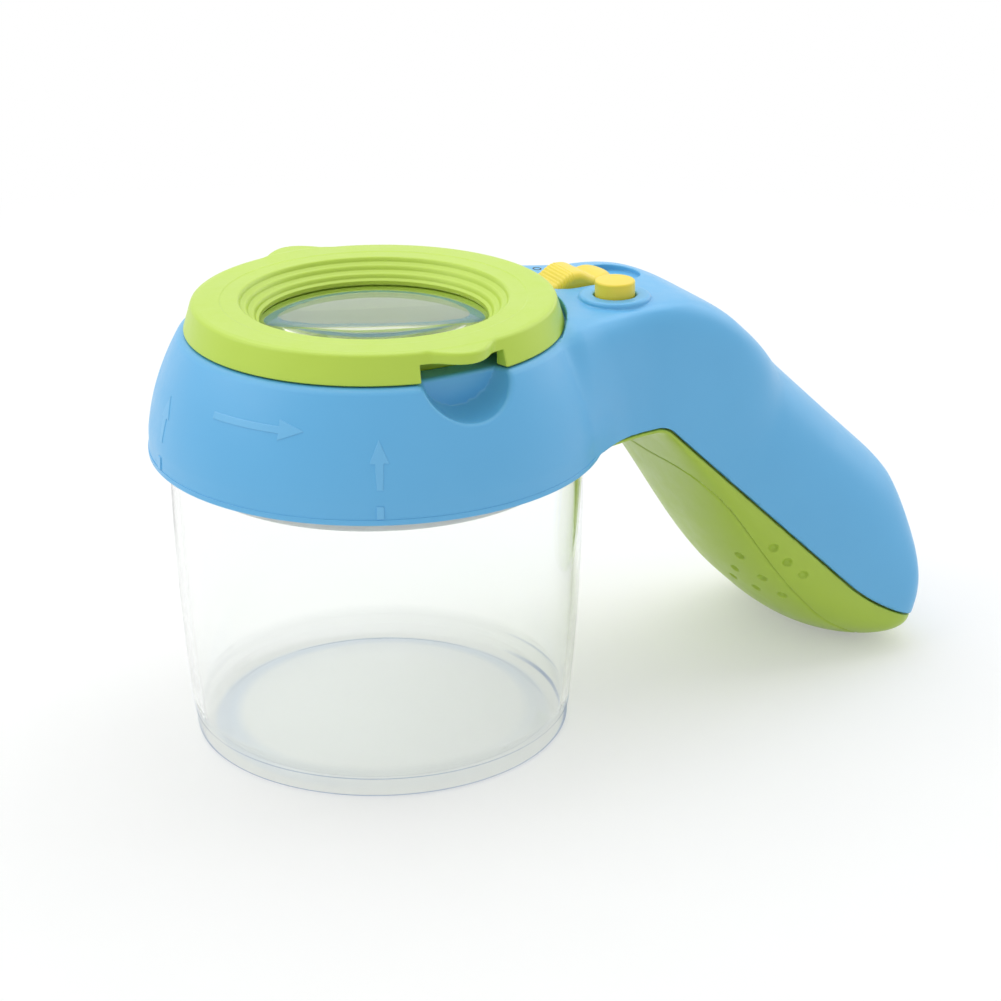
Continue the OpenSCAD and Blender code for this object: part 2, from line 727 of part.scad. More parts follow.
// One spring stands at each end of the compartment, on opposite cells
module battery_springs() {
    spring_h = contact_room - plate_t - 2 * rest_gap;
    color([0.78, 0.78, 0.76]) {
        at_cell(1, box_wall + rest_gap) {
            cylinder(r = contact_r, h = plate_t);
            translate([0, 0, plate_t - spring_wire / 2])
                coil(contact_spring_r, contact_spring_r / 3, spring_wire, contact_spring_turns, spring_h, 12, 5);
        }
        at_cell(-1, box_len - box_wall - rest_gap) mirror([0, 0, 1]) {
            cylinder(r = contact_r, h = plate_t);
            translate([0, 0, plate_t - spring_wire / 2])
                coil(contact_spring_r, contact_spring_r / 3, spring_wire, contact_spring_turns, spring_h, 12, 5);
        }
    }
}
module battery_contacts() {
    color([0.78, 0.78, 0.76]) {
        at_cell(-1, box_wall + rest_gap) {
            cylinder(r = contact_r, h = plate_t);
            cylinder(r = nub_r, h = contact_room - 2 * rest_gap);
        }
        at_cell(1, box_len - box_wall - rest_gap) mirror([0, 0, 1]) {
            cylinder(r = contact_r, h = plate_t);
            cylinder(r = nub_r, h = contact_room - 2 * rest_gap);
        }
    }
}

module screw(r, head_r, head_h, length) {
    cylinder(r = head_r, h = head_h);
    cylinder(r = r, h = length);
}
module shell_screws() {
    color([0.72, 0.72, 0.74]) at_root_screws() translate([0, 0, -root_screw_head_v])
        screw(screw_r - screw_hole_gap, screw_head_r, screw_head_h, shell_screw_len);
}
module door_screw() {
    color([0.72, 0.72, 0.74]) at_door_screw() translate([0, 0, door_screw_sink - door_depth])
        screw(screw_r - screw_hole_gap, screw_head_r, screw_head_h, door_screw_len);
}
module board_screws() {
    color([0.72, 0.72, 0.74]) for (b = board_posts)
        translate([b[0], b[1], board_z - board_t - board_screw_head_h - rest_gap])
        screw(board_screw_r - screw_hole_gap, board_screw_head_r, board_screw_head_h, board_screw_len);
}

module light_ring() {
    low = jar_h - light_drop;
    in_r = throat_r + throat_wall + fit;
    color([0.90, 0.92, 0.91]) {
        rotate_extrude() polygon([[light_r - light_wall, low], [light_r, low], [light_r, light_top_z],
            [in_r + light_sleeve_t, light_top_z], [in_r + light_sleeve_t, light_top_z + light_sleeve_h],
            [in_r, light_top_z + light_sleeve_h], [in_r, light_top_z - light_flange],
            [light_r - light_wall, light_top_z - light_flange]]);
        translate([lamp_at_r, 0, 0]) tube(lamp_r + fit, lamp_r + fit + socket_t, light_top_z - light_flange / 2,
            light_top_z + socket_h);
    }
}

module lamp() {
    z = light_top_z + lamp_tip_gap;
    color([0.95, 0.95, 0.90]) translate([lamp_at_r, 0, 0]) {
        translate([0, 0, z + lamp_r]) cylinder(r = lamp_r, h = lamp_body_h);
        translate([0, 0, z + lamp_r]) sphere(r = lamp_r);
        translate([0, 0, z + lamp_r + lamp_body_h - lamp_rim_h]) cylinder(r = lamp_r + lamp_rim, h = lamp_rim_h);
        for (y = [-1, 1]) translate([-lamp_leg / 2, y * lamp_leg_gap / 2 - lamp_leg / 2, z + lamp_r + lamp_body_h])
            cube([lamp_leg, lamp_leg, lamp_leg_h]);
    }
}

// A wire through a list of points, with a mitre at each bend
function unit(v) = v / norm(v);
function wire_way(path, i) = unit((i > 0 ? unit(path[i] - path[i - 1]) : [0, 0, 0])
    + (i < len(path) - 1 ? unit(path[i + 1] - path[i]) : [0, 0, 0]));
module wire(path) {
    n = len(path);
    points = [for (i = [0:n - 1])
        let (t = wire_way(path, i), e = unit(cross([0, 1, 0], t)), f = cross(t, e))
        for (k = [0:wire_sides - 1])
            let (b = 360 * k / wire_sides) path[i] + wire_r * (e * cos(b) + f * sin(b))];
    skins = [for (i = [0:n - 2]) for (k = [0:wire_sides - 1])
        let (a = i * wire_sides + k, b = i * wire_sides + (k + 1) % wire_sides)
        each [[a, b + wire_sides, b], [a, a + wire_sides, b + wire_sides]]];
    polyhedron(points, concat(skins, [[for (k = [wire_sides - 1:-1:0]) k]],
        [[for (k = [0:wire_sides - 1]) (n - 1) * wire_sides + k]]));
}
under_board = board_z - board_t - wire_r - rest_gap;
module lamp_wires() {
    z = light_top_z + lamp_tip_gap + lamp_r + lamp_body_h + lamp_leg_h + wire_r + rest_gap / 2;
    color([0.75, 0.15, 0.12]) for (y = [-1, 1]) wire([[lamp_at_r, y * lamp_leg_gap / 2, z],
        [lamp_at_r + lamp_wire_x, y * lamp_wire_y, z - lamp_leg_h],
        [lamp_at_r + lamp_wire_x, y * lamp_wire_y, under_board],
        [board_x0 + lamp_wire_end, y * lamp_wire_y, under_board]]);
}
// A place beside the root end of the compartment, in the part's own frame
function beside_box(x, v) = let (p = spine_xz(spine_2 + box_from))
    [p[0] + x * cos(handle_slope) + v * sin(handle_slope), p[1] - x * sin(handle_slope) + v * cos(handle_slope)];
module battery_wires() {
    a = beside_box(box_wall + rest_gap / 2, cell_v + battery_wire_v);
    b = beside_box(-battery_wire_out, cell_v + battery_wire_v);
    color([0.12, 0.12, 0.13]) for (y = [-1, 1]) let (side = y * (cell_r + cell_side_gap / 2))
        wire([[a[0], side, a[1]], [b[0], side, b[1]],
            [board_x0 + board_len - battery_wire_end, side, under_board - battery_wire_end],
            [board_x0 + board_len - battery_wire_end, side, under_board + wire_r]]);
}

// Rounded noses of the stepped funnel, from the top edge down to the eye
function funnel() =
    let (r0 = eye_r + ring_top_in, z0 = deck_z + rest_gap + ring_h, run = ring_top_in / rib_count,
        drop = (ring_h - lens_seat_t - rib_floor) / rib_count)
    [for (k = [0:rib_count - 1]) for (i = [0:rib_steps])
        let (a = 90 * i / rib_steps)
        [r0 - k * run - run * (i < rib_steps ? rib_nose_share * sin(a) : 1), z0 - k * drop - drop * (1 - cos(a))]];

module lens_ring() {
    z0 = deck_z + rest_gap;
    z1 = z0 + ring_h;
    color([0.78, 0.90, 0.42]) {
        difference() {
            rotate_extrude() polygon(concat(
                [[ring_r, z0], [ring_r - ring_lean + ring_edge_round * ring_lean / ring_h, z1 - ring_edge_round]],
                [for (a = [30:30:90]) [ring_r - ring_lean - ring_edge_round + ring_edge_round * cos(a),
                    z1 - ring_edge_round + ring_edge_round * sin(a)]],
                funnel(),
                [[eye_r, z0 + lens_seat_t], [hub_r - hub_wall, z0 + lens_seat_t], [hub_r - hub_wall, z0 - hub_drop],
                    [hub_r, z0 - hub_drop], [hub_r, z1 - ring_plate_t],
                    [ring_r - ring_skirt_t, z1 - ring_plate_t], [ring_r - ring_skirt_t, z0]]));
            at_tabs() translate([0, 0, z0 - over]) rotate([0, 0, -tab_half_angle])
                rotate_extrude(angle = 2 * tab_half_angle)
                translate([ring_r - ring_skirt_t - over, 0]) square([ring_skirt_t + 3 * over, ring_h - tab_t + over]);
        }
        at_tabs() translate([0, 0, z1 - tab_t]) linear_extrude(tab_t)
            polygon(concat([[hub_r + over, 0]], [for (i = [0:tab_steps])
                let (a = tab_half_angle * (2 * i / tab_steps - 1),
                    r = ring_r - ring_lean - ring_edge_round / 2
                        + tab_out * pow((1 + cos(180 * a / tab_half_angle)) / 2, tab_blend_power))
                [r * cos(a), r * sin(a)]]));
    }
}

lens_r = hub_r - hub_wall - lens_slack;
lens_top_z = deck_z + rest_gap + lens_seat_t - rest_gap / 2;
lens_sag = lens_curve - sqrt(lens_curve * lens_curve - lens_r * lens_r);
module magnifier_lens() {
    color([0.85, 0.92, 0.92, 0.35]) rotate_extrude() polygon(concat(
        [[0, lens_top_z - lens_edge_t - lens_sag]],
        [for (i = [1:lens_steps]) let (r = lens_r * i / lens_steps)
            [r, lens_top_z - lens_edge_t - lens_sag + lens_curve - sqrt(lens_curve * lens_curve - r * r)]],
        [for (i = [lens_steps:-1:1]) let (r = min(lens_r, eye_r - rest_gap) * i / lens_steps)
            [r, lens_top_z + lens_sag - lens_curve + sqrt(lens_curve * lens_curve - r * r)
                - (lens_sag - lens_curve + sqrt(lens_curve * lens_curve - pow(min(lens_r, eye_r - rest_gap), 2)))]],
        [[0, lens_top_z + lens_curve - sqrt(lens_curve * lens_curve - pow(min(lens_r, eye_r - rest_gap), 2))]]));
}
module lens_clip() {
    in_r = lens_r - clip_w;
    z = lens_top_z - lens_edge_t - rest_gap - lens_sag + lens_curve - sqrt(lens_curve * lens_curve - in_r * in_r);
    color([0.78, 0.90, 0.42]) tube(in_r, lens_r, z - clip_t, z);
}

// Top line of the slide knob: a ridged crest, a dip and a lower crest
function bump(x, at, width, height) = height * pow(max(0, cos(90 * min(1, abs(x - at) / width))), 2);
function knob_top(x) = knob_base_h
    + bump(x, crest_1_at_share * knob_len, crest_1_half_share * knob_len, crest_1)
    + bump(x, crest_2_at_share * knob_len, crest_2_half_share * knob_len, crest_2)
    + (x > ripple_from_share * knob_len && x < ripple_to_share * knob_len
        ? ripple * (1 - cos(360 * x / ripple_pitch)) : 0);
module slide_knob() {
    z = control_z - track_depth + knob_gap;
    color([0.98, 0.90, 0.40]) difference() {
        union() {
            intersection() {
                translate([knob_x, track_y + knob_half_w, z]) rotate([90, 0, 0]) linear_extrude(2 * knob_half_w)
                    polygon(concat([[0, 0], [knob_len, 0]], [for (i = [knob_steps:-1:0])
                        let (x = knob_len * i / knob_steps)
                        [x, knob_top(x) + track_depth - knob_gap - knob_base_h / 2]]));
                translate([0, 0, z - over]) linear_extrude(2 * track_depth + 2 * crest_1)
                    track_shape(knob_half_w, knob_x - over, knob_x + knob_len);
            }
            translate([stem_x, track_y - knob_stem_w / 2, board_z + switch_h + rest_gap])
                cube([knob_stem_len, knob_stem_w, z - board_z - switch_h]);
            translate([stem_x - knob_hook, track_y - knob_stem_w / 2 - knob_hook,
                    control_z - track_depth - track_floor_t - fit - knob_hook_t])
                cube([knob_stem_len + 2 * knob_hook, knob_stem_w + 2 * knob_hook, knob_hook_t]);
        }
        translate([stem_x + knob_stem_len / 2 - lever_len / 2 - rest_gap / 2, track_y - lever_w / 2 - rest_gap / 2,
                board_z + switch_h - over])
            cube([lever_len + rest_gap, lever_w + rest_gap, lever_up + over + rest_gap]);
    }
}
module switch_lever() {
    color([0.12, 0.12, 0.13]) translate([stem_x + knob_stem_len / 2 - lever_len / 2, track_y - lever_w / 2,
            board_z + switch_h - lever_w])
        cube([lever_len, lever_w, lever_up + lever_w]);
}
module slide_switch() {
    x0 = stem_x + knob_stem_len / 2 - lever_len / 2;
    color([0.75, 0.76, 0.78]) difference() {
        translate([x0 - 2 * rest_gap - plate_t, track_y - switch_w / 2, board_z])
            cube([knob_travel + lever_len + 4 * rest_gap + 2 * plate_t, switch_w, switch_h]);
        translate([x0 - rest_gap, track_y - lever_w / 2 - rest_gap, board_z + switch_h - lever_w - rest_gap])
            cube([knob_travel + lever_len + 2 * rest_gap, lever_w + 2 * rest_gap, 2 * lever_w]);
    }
}

module push_button() {
    top = control_z + button_ring_h + button_proud;
    flange_z = control_z - pad_drop - fit - button_flange_t;
    color([0.98, 0.90, 0.40]) translate([button_x, button_y, 0]) rotate_extrude() polygon(concat(
        [[0, board_z + press_h + press_up + button_travel + rest_gap / 2],
            [button_stem_r, board_z + press_h + press_up + button_travel + rest_gap / 2],
            [button_stem_r, flange_z], [button_r + button_flange, flange_z],
            [button_r + button_flange, flange_z + button_flange_t], [button_r, flange_z + button_flange_t]],
        [for (a = [0:30:90]) [button_r - button_edge + button_edge * cos(a), top - button_edge + button_edge * sin(a)]],
        [[0, top]]));
}
module button_spring() {
    flange_z = control_z - pad_drop - fit - button_flange_t;
    color([0.75, 0.76, 0.78]) translate([button_x, button_y, board_z])
        coil(spring_r, spring_r, spring_wire, spring_turns, flange_z - board_z, 14, 5);
}
module push_switch() {
    color([0.20, 0.20, 0.22]) translate([button_x, button_y, board_z]) {
        translate([-press_w / 2, -press_w / 2, 0]) cube([press_w, press_w, press_h]);
        cylinder(r = press_r, h = press_h + press_up);
    }
}
module circuit_board() {
    color([0.16, 0.42, 0.24]) difference() {
        translate([board_x0, board_y0, board_z - board_t]) cube([board_len, board_y1 - board_y0, board_t]);
        for (b = board_posts) translate([b[0], b[1], board_z - board_t - over])
            cylinder(r = board_screw_r, h = board_t + 2 * over);
    }
}

jar();
upper_shell();
lower_shell();
battery_door();
light_ring();
lens_ring();
magnifier_lens();
lens_clip();
slide_knob();
switch_lever();
slide_switch();
push_button();
button_spring();
push_switch();
circuit_board();
lamp();
battery_left();
battery_right();
battery_springs();
battery_contacts();
lamp_wires();
battery_wires();
shell_screws();
door_screw();
board_screws();
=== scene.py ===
import json
import math
import bpy
import numpy as np
from mathutils import Matrix, Vector


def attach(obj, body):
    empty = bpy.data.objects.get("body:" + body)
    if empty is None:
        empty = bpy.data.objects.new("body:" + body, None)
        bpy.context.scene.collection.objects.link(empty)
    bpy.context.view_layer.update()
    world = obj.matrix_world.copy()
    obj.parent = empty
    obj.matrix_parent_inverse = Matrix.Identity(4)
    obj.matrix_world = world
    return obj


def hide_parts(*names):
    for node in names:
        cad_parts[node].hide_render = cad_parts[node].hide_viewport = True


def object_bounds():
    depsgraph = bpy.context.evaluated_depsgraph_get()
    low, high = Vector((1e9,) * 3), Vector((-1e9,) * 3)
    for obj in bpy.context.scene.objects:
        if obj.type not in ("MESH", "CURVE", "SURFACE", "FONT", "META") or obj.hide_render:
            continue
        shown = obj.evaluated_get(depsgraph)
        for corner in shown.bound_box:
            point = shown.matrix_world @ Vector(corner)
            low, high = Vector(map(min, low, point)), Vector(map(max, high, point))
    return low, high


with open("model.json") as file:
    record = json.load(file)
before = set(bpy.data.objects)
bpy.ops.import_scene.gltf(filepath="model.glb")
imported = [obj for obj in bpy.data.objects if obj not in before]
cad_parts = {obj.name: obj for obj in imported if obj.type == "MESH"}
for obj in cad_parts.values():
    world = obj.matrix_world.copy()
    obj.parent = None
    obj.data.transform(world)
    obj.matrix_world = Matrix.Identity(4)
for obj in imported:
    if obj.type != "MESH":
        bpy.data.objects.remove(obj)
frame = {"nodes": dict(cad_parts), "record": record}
cad_box = [list(c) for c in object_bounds()]
nodes = frame["nodes"]

# ---------------------------------------------------------------- camera
# Fitted to the photograph: angles in radians, distances in metres, focal length in pixels
TURN, PITCH, YAW, ROLL = math.radians(24), 0.386622, 0.051590, -0.00269542
BACK, UP, FOCAL, PHOTO_WIDTH = 0.4736235, 0.2389395, 2552.27, 1001
cam = bpy.data.cameras.new("camera")
cam.sensor_fit = "HORIZONTAL"
cam.sensor_width = 36
cam.lens = FOCAL * cam.sensor_width / PHOTO_WIDTH
cam.clip_start, cam.clip_end = 0.01, 20
cam_ob = bpy.data.objects.new("camera", cam)
bpy.context.scene.collection.objects.link(cam_ob)
yaw = YAW + TURN
ahead = Vector((math.sin(yaw) * math.cos(PITCH), math.cos(yaw) * math.cos(PITCH), -math.sin(PITCH)))
right = Vector((math.cos(yaw), -math.sin(yaw), 0))
above = right.cross(ahead)
side = math.cos(ROLL) * right + math.sin(ROLL) * above
top = -math.sin(ROLL) * right + math.cos(ROLL) * above
place = Matrix((side, top, -ahead)).transposed().to_4x4()
place.translation = Vector((-BACK * math.sin(TURN), -BACK * math.cos(TURN), UP))
cam_ob.matrix_world = place
bpy.context.scene.camera = cam_ob


# ---------------------------------------------------------------- materials
def fresh(name):
    m = bpy.data.materials.new(name)
    m.use_nodes = True
    t = m.node_tree
    t.nodes.clear()
    return m, t


def link(t, a, b):
    t.links.new(a, b)


def noise(t, coords, scale, detail=2.0, rough=0.5):
    n = t.nodes.new("ShaderNodeTexNoise")
    n.inputs["Scale"].default_value = scale
    n.inputs["Detail"].default_value = detail
    n.inputs["Roughness"].default_value = rough
    link(t, coords, n.inputs["Vector"])
    return n.outputs["Fac"]


def remap(t, value, a, b, lo, hi):
    n = t.nodes.new("ShaderNodeMapRange")
    for k, v in zip(("From Min", "From Max", "To Min", "To Max"), (a, b, lo, hi)):
        n.inputs[k].default_value = v
    link(t, value, n.inputs["Value"])
    return n.outputs["Result"]


def bump(t, height, strength, distance):
    n = t.nodes.new("ShaderNodeBump")
    n.inputs["Strength"].default_value = strength
    n.inputs["Distance"].default_value = distance
    link(t, height, n.inputs["Height"])
    return n.outputs["Normal"]


def blend(t, share, first, second):
    """One shader over another: share is how much of the second is seen."""
    n = t.nodes.new("ShaderNodeMixShader")
    for value, socket in zip((share, first, second), n.inputs):
        link(t, value, socket)
    return n.outputs["Shader"]


def lets_light_by(t, shader):
    """The shader, with light on its way to a shaded place let through almost whole."""
    through = t.nodes.new("ShaderNodeBsdfTransparent")
    through.inputs["Color"].default_value = (0.975, 0.982, 0.98, 1)
    path = t.nodes.new("ShaderNodeLightPath")
    return blend(t, path.outputs["Is Shadow Ray"], shader, through.outputs["BSDF"])


def plastic(name, light, dark, rough=0.34, subsurface=0.06):
    m, t = fresh(name)
    out = t.nodes.new("ShaderNodeOutputMaterial")
    p = t.nodes.new("ShaderNodeBsdfPrincipled")
    c = t.nodes.new("ShaderNodeTexCoord").outputs["Object"]
    cloud = noise(t, c, 28, 3, 0.55)
    fine = noise(t, c, 900, 4, 0.6)
    mix = t.nodes.new("ShaderNodeMix")
    mix.data_type = "RGBA"
    mix.inputs["A"].default_value = (*dark, 1)
    mix.inputs["B"].default_value = (*light, 1)
    link(t, remap(t, cloud, 0.3, 0.7, 0, 1), mix.inputs["Factor"])
    link(t, mix.outputs["Result"], p.inputs["Base Color"])
    scuff = noise(t, c, 160, 6, 0.7)
    link(t, remap(t, scuff, 0.35, 0.75, rough - 0.05, rough + 0.09), p.inputs["Roughness"])
    link(t, bump(t, fine, 0.5, 0.00002), p.inputs["Normal"])
    p.inputs["IOR"].default_value = 1.49
    p.inputs["Subsurface Weight"].default_value = subsurface
    p.inputs["Subsurface Radius"].default_value = (1, 1, 1)
    p.inputs["Subsurface Scale"].default_value = 0.0012
    link(t, p.outputs["BSDF"], out.inputs["Surface"])
    return m


# Below the real plastic's 1.49, so that the walls bend the view as little as in the photograph
CLEAR_IOR = 1.25


def clear(name, painted_tint, rough=0.01):
    m, t = fresh(name)
    out = t.nodes.new("ShaderNodeOutputMaterial")
    p = t.nodes.new("ShaderNodeBsdfPrincipled")
    c = t.nodes.new("ShaderNodeTexCoord").outputs["Object"]
    wave = noise(t, c, 45, 2, 0.5)
    fine = noise(t, c, 700, 3, 0.6)
    p.inputs["Base Color"].default_value = (*painted_tint, 1)
    p.inputs["Transmission Weight"].default_value = 1
    p.inputs["IOR"].default_value = CLEAR_IOR
    link(t, remap(t, fine, 0.4, 0.8, rough, rough + 0.05), p.inputs["Roughness"])
    link(t, bump(t, wave, 0.35, 0.0002), p.inputs["Normal"])
    link(t, lets_light_by(t, p.outputs["BSDF"]), out.inputs["Surface"])
    return m


def cup_plastic(name, walls_tint):
    """Clear walls that bend light, over a base that only tints it, as a thin bright base does. The base's tint
    also carries painted shade: a bluish ring on the far half, two dark lines on the near half of the foot, and
    darker edges where the base is seen edge-on.
    """
    m, t = fresh(name)
    out = t.nodes.new("ShaderNodeOutputMaterial")
    c = t.nodes.new("ShaderNodeTexCoord").outputs["Object"]
    part = t.nodes.new("ShaderNodeSeparateXYZ")
    link(t, c, part.inputs[0])
    flat = t.nodes.new("ShaderNodeCombineXYZ")
    link(t, part.outputs["X"], flat.inputs["X"])
    link(t, part.outputs["Y"], flat.inputs["Y"])
    far = t.nodes.new("ShaderNodeVectorMath")
    far.operation = "LENGTH"
    link(t, flat.outputs[0], far.inputs[0])
    r = far.outputs["Value"]

    def times(a, b):
        k = t.nodes.new("ShaderNodeMath")
        k.operation = "MULTIPLY"
        link(t, a, k.inputs[0])
        link(t, b, k.inputs[1])
        return k.outputs["Value"]

    def band(value, a, b, c, d):
        return times(remap(t, value, a, b, 0, 1), remap(t, value, c, d, 1, 0))

    def painted_tint(under, colour, amount):
        k = t.nodes.new("ShaderNodeMix")
        k.data_type = "RGBA"
        if isinstance(under, tuple):
            k.inputs["A"].default_value = (*under, 1)
        else:
            link(t, under, k.inputs["A"])
        k.inputs["B"].default_value = (*colour, 1)
        link(t, amount, k.inputs["Factor"])
        return k.outputs["Result"]

    # Where the painted shade goes, in metres: the ring under the floor, strongest on the far half, and the
    # foot's two lines on the near half
    height, depth = part.outputs["Z"], part.outputs["Y"]
    shade_far_half = remap(t, depth, -0.03, 0.012, 0.12, 1)
    shade_near_rim = times(remap(t, depth, 0.0, 0.014, 1, 0), remap(t, r, 0.0372, 0.0376, 0, 1))
    underneath = remap(t, height, 0.0014, 0.0016, 1, 0)
    ring = times(band(r, 0.0284, 0.0308, 0.0338, 0.0352), times(shade_far_half, underneath))
    upper_shade_line = times(shade_near_rim, band(height, 0.0039, 0.0041, 0.0042, 0.0044))
    lower_shade_line = times(shade_near_rim, remap(t, height, 0.0003, 0.0006, 1, 0))

    weight = t.nodes.new("ShaderNodeLayerWeight")
    weight.inputs["Blend"].default_value = 0.35
    facing = weight.outputs["Facing"]
    cloud = remap(t, noise(t, c, 60, 3), 0.3, 0.7, 0.75, 1)
    # Painted shade in the see-through base: the bluish ring, darker edges where it is seen edge-on, and the
    # foot's two dark lines
    colour = painted_tint((0.952, 0.959, 0.955), (0.80, 0.85, 0.92), times(ring, cloud))
    colour = painted_tint(colour, (0.66, 0.72, 0.82), remap(t, facing, 0.6, 1, 0, 0.6))
    colour = painted_tint(colour, (0.50, 0.58, 0.72), upper_shade_line)
    colour = painted_tint(colour, (0.48, 0.56, 0.74), lower_shade_line)
    see = t.nodes.new("ShaderNodeBsdfTransparent")
    link(t, colour, see.inputs["Color"])
    fine = noise(t, c, 700, 3, 0.6)
    shine = t.nodes.new("ShaderNodeBsdfGlossy")
    link(t, remap(t, fine, 0.4, 0.8, 0.03, 0.09), shine.inputs["Roughness"])
    base = blend(t, remap(t, facing, 0.3, 1, 0.02, 0.3), see.outputs["BSDF"], shine.outputs["BSDF"])

    walls = t.nodes.new("ShaderNodeBsdfPrincipled")
    walls.inputs["Base Color"].default_value = (*walls_tint, 1)
    walls.inputs["Transmission Weight"].default_value = 1
    walls.inputs["IOR"].default_value = CLEAR_IOR
    link(t, remap(t, fine, 0.4, 0.8, 0.01, 0.05), walls.inputs["Roughness"])
    link(t, bump(t, noise(t, c, 45, 2), 0.3, 0.0002), walls.inputs["Normal"])
    cup = blend(t, remap(t, height, 0.0046, 0.007, 0, 1), base, walls.outputs["BSDF"])
    link(t, lets_light_by(t, cup), out.inputs["Surface"])
    return m


def metal(name, colour, rough=0.3):
    m, t = fresh(name)
    out = t.nodes.new("ShaderNodeOutputMaterial")
    p = t.nodes.new("ShaderNodeBsdfPrincipled")
    c = t.nodes.new("ShaderNodeTexCoord").outputs["Object"]
    p.inputs["Base Color"].default_value = (*colour, 1)
    p.inputs["Metallic"].default_value = 1
    wear = noise(t, c, 500, 5, 0.65)
    link(t, remap(t, wear, 0.3, 0.75, rough - 0.08, rough + 0.12), p.inputs["Roughness"])
    link(t, bump(t, noise(t, c, 1500, 3, 0.6), 0.3, 0.00002), p.inputs["Normal"])
    link(t, p.outputs["BSDF"], out.inputs["Surface"])
    return m


BLUE = plastic("blue_plastic", (0.13, 0.465, 0.80), (0.12, 0.445, 0.775))
# Painted highlight: a lighter copy of the blue for the raised marks on the collar
RAISED_HIGHLIGHT = plastic("blue_raised_highlight", (0.165, 0.50, 0.83), (0.155, 0.485, 0.81))
GREEN = plastic("green_plastic", (0.41, 0.57, 0.055), (0.38, 0.54, 0.05))
LIME = plastic("lime_plastic", (0.51, 0.70, 0.08), (0.48, 0.67, 0.07))
YELLOW = plastic("yellow_plastic", (0.88, 0.70, 0.06), (0.84, 0.66, 0.05))
FROST = plastic("frosted_plastic", (0.82, 0.85, 0.84), (0.78, 0.82, 0.81), rough=0.5, subsurface=0.3)
BLACK = plastic("black_plastic", (0.02, 0.02, 0.024), (0.014, 0.014, 0.017), rough=0.42)
BOARD = plastic("board_green", (0.03, 0.16, 0.05), (0.025, 0.12, 0.04), rough=0.3)
LAMP = plastic("lamp_white", (0.85, 0.85, 0.78), (0.80, 0.80, 0.74), rough=0.15)
SLEEVE = plastic("battery_grey", (0.06, 0.065, 0.075), (0.045, 0.05, 0.06), rough=0.3)
WIRE = plastic("red_wire", (0.45, 0.02, 0.015), (0.38, 0.018, 0.012), rough=0.45)
METAL = metal("bright_metal", (0.72, 0.71, 0.68))
# The lens's darker yellow-green tint is painted: it stands for the green lens ring seen in the lens, and for
# shade
CLEAR = clear("clear_plastic", (0.85, 0.905, 0.715))
CUP = cup_plastic("cup_plastic", (0.981, 0.990, 0.983))
FINISH = {"clear_plastic": CLEAR, "blue_plastic": BLUE, "green_plastic": GREEN, "lime_plastic": LIME,
          "yellow_plastic": YELLOW, "frosted_plastic": FROST, "black_plastic": BLACK, "board_green": BOARD,
          "lamp_white": LAMP, "battery_grey": SLEEVE, "red_wire": WIRE, "bright_metal": METAL}
for subpart in frame["record"]["subparts"]:
    for held in nodes[subpart["node"]].material_slots:
        held.material = FINISH[subpart["material_slot"]]

# ---------------------------------------------------------------- shapes as distance fields, in millimetres
MM = 0.001
# Heights: the collar's lower edge, the deck under the lens ring, the control deck, the parting line
COLLAR_Z, DECK, CONTROL, PART = 59.6, 83.5, 85.25, 60.35
# The collar's outside: its radius at the lower edge, how far it draws in, and over what height
COLLAR_R, COLLAR_IN, COLLAR_H = 44.97, 6.37, 22.7
# The handle's spine: where it starts, the knee's radius, the slope, and the tip's radius
ROOT, KNEE, SLOPE, SPINE_R = 30.07, 5.5, math.radians(44), 50.65
SN, CS = math.sin(SLOPE), math.cos(SLOPE)
# Lengths along the spine to the knee, the slope, the tip's curve and the tip, and from the slope to the tip
S1, S2, S3, S4 = 21.478, 25.70, 83.45, 108.2
REACH = 82.5
BUTTON = (47.17, -11.4)
TRACK_X, TRACK_Y = 36, 4.4


def rmax(a, b, r):
    """Where two solids meet, with the edge rounded to radius r."""
    return np.minimum(np.maximum(a, b), -r) + np.hypot(np.maximum(a + r, 0), np.maximum(b + r, 0))


def rmin(a, b, r):
    """Two solids joined, with a fillet of radius r."""
    return -rmax(-a, -b, r)


def ease(t):
    t = np.clip(t, 0, 1)
    return t * t * (3 - 2 * t)


def chunks(field, p, size=300000):
    """The field at many points, a part of them at a time."""
    if not len(p):
        return np.zeros(0)
    return np.concatenate([field(p[i:i + size]) for i in range(0, len(p), size)])


def slope_of(field, p, e):
    """The field's gradient, from points e millimetres to each side."""
    g = np.empty_like(p)
    for k in range(3):
        d = np.zeros(3)
        d[k] = e
        g[:, k] = (chunks(field, p + d) - chunks(field, p - d)) / (2 * e)
    return g


def axis(*parts):
    """Grid lines from (start, end, step) runs that follow each other."""
    lines = [np.arange(a, b - 1e-6, s) for a, b, s in parts]
    return np.append(np.concatenate(lines), parts[-1][1])


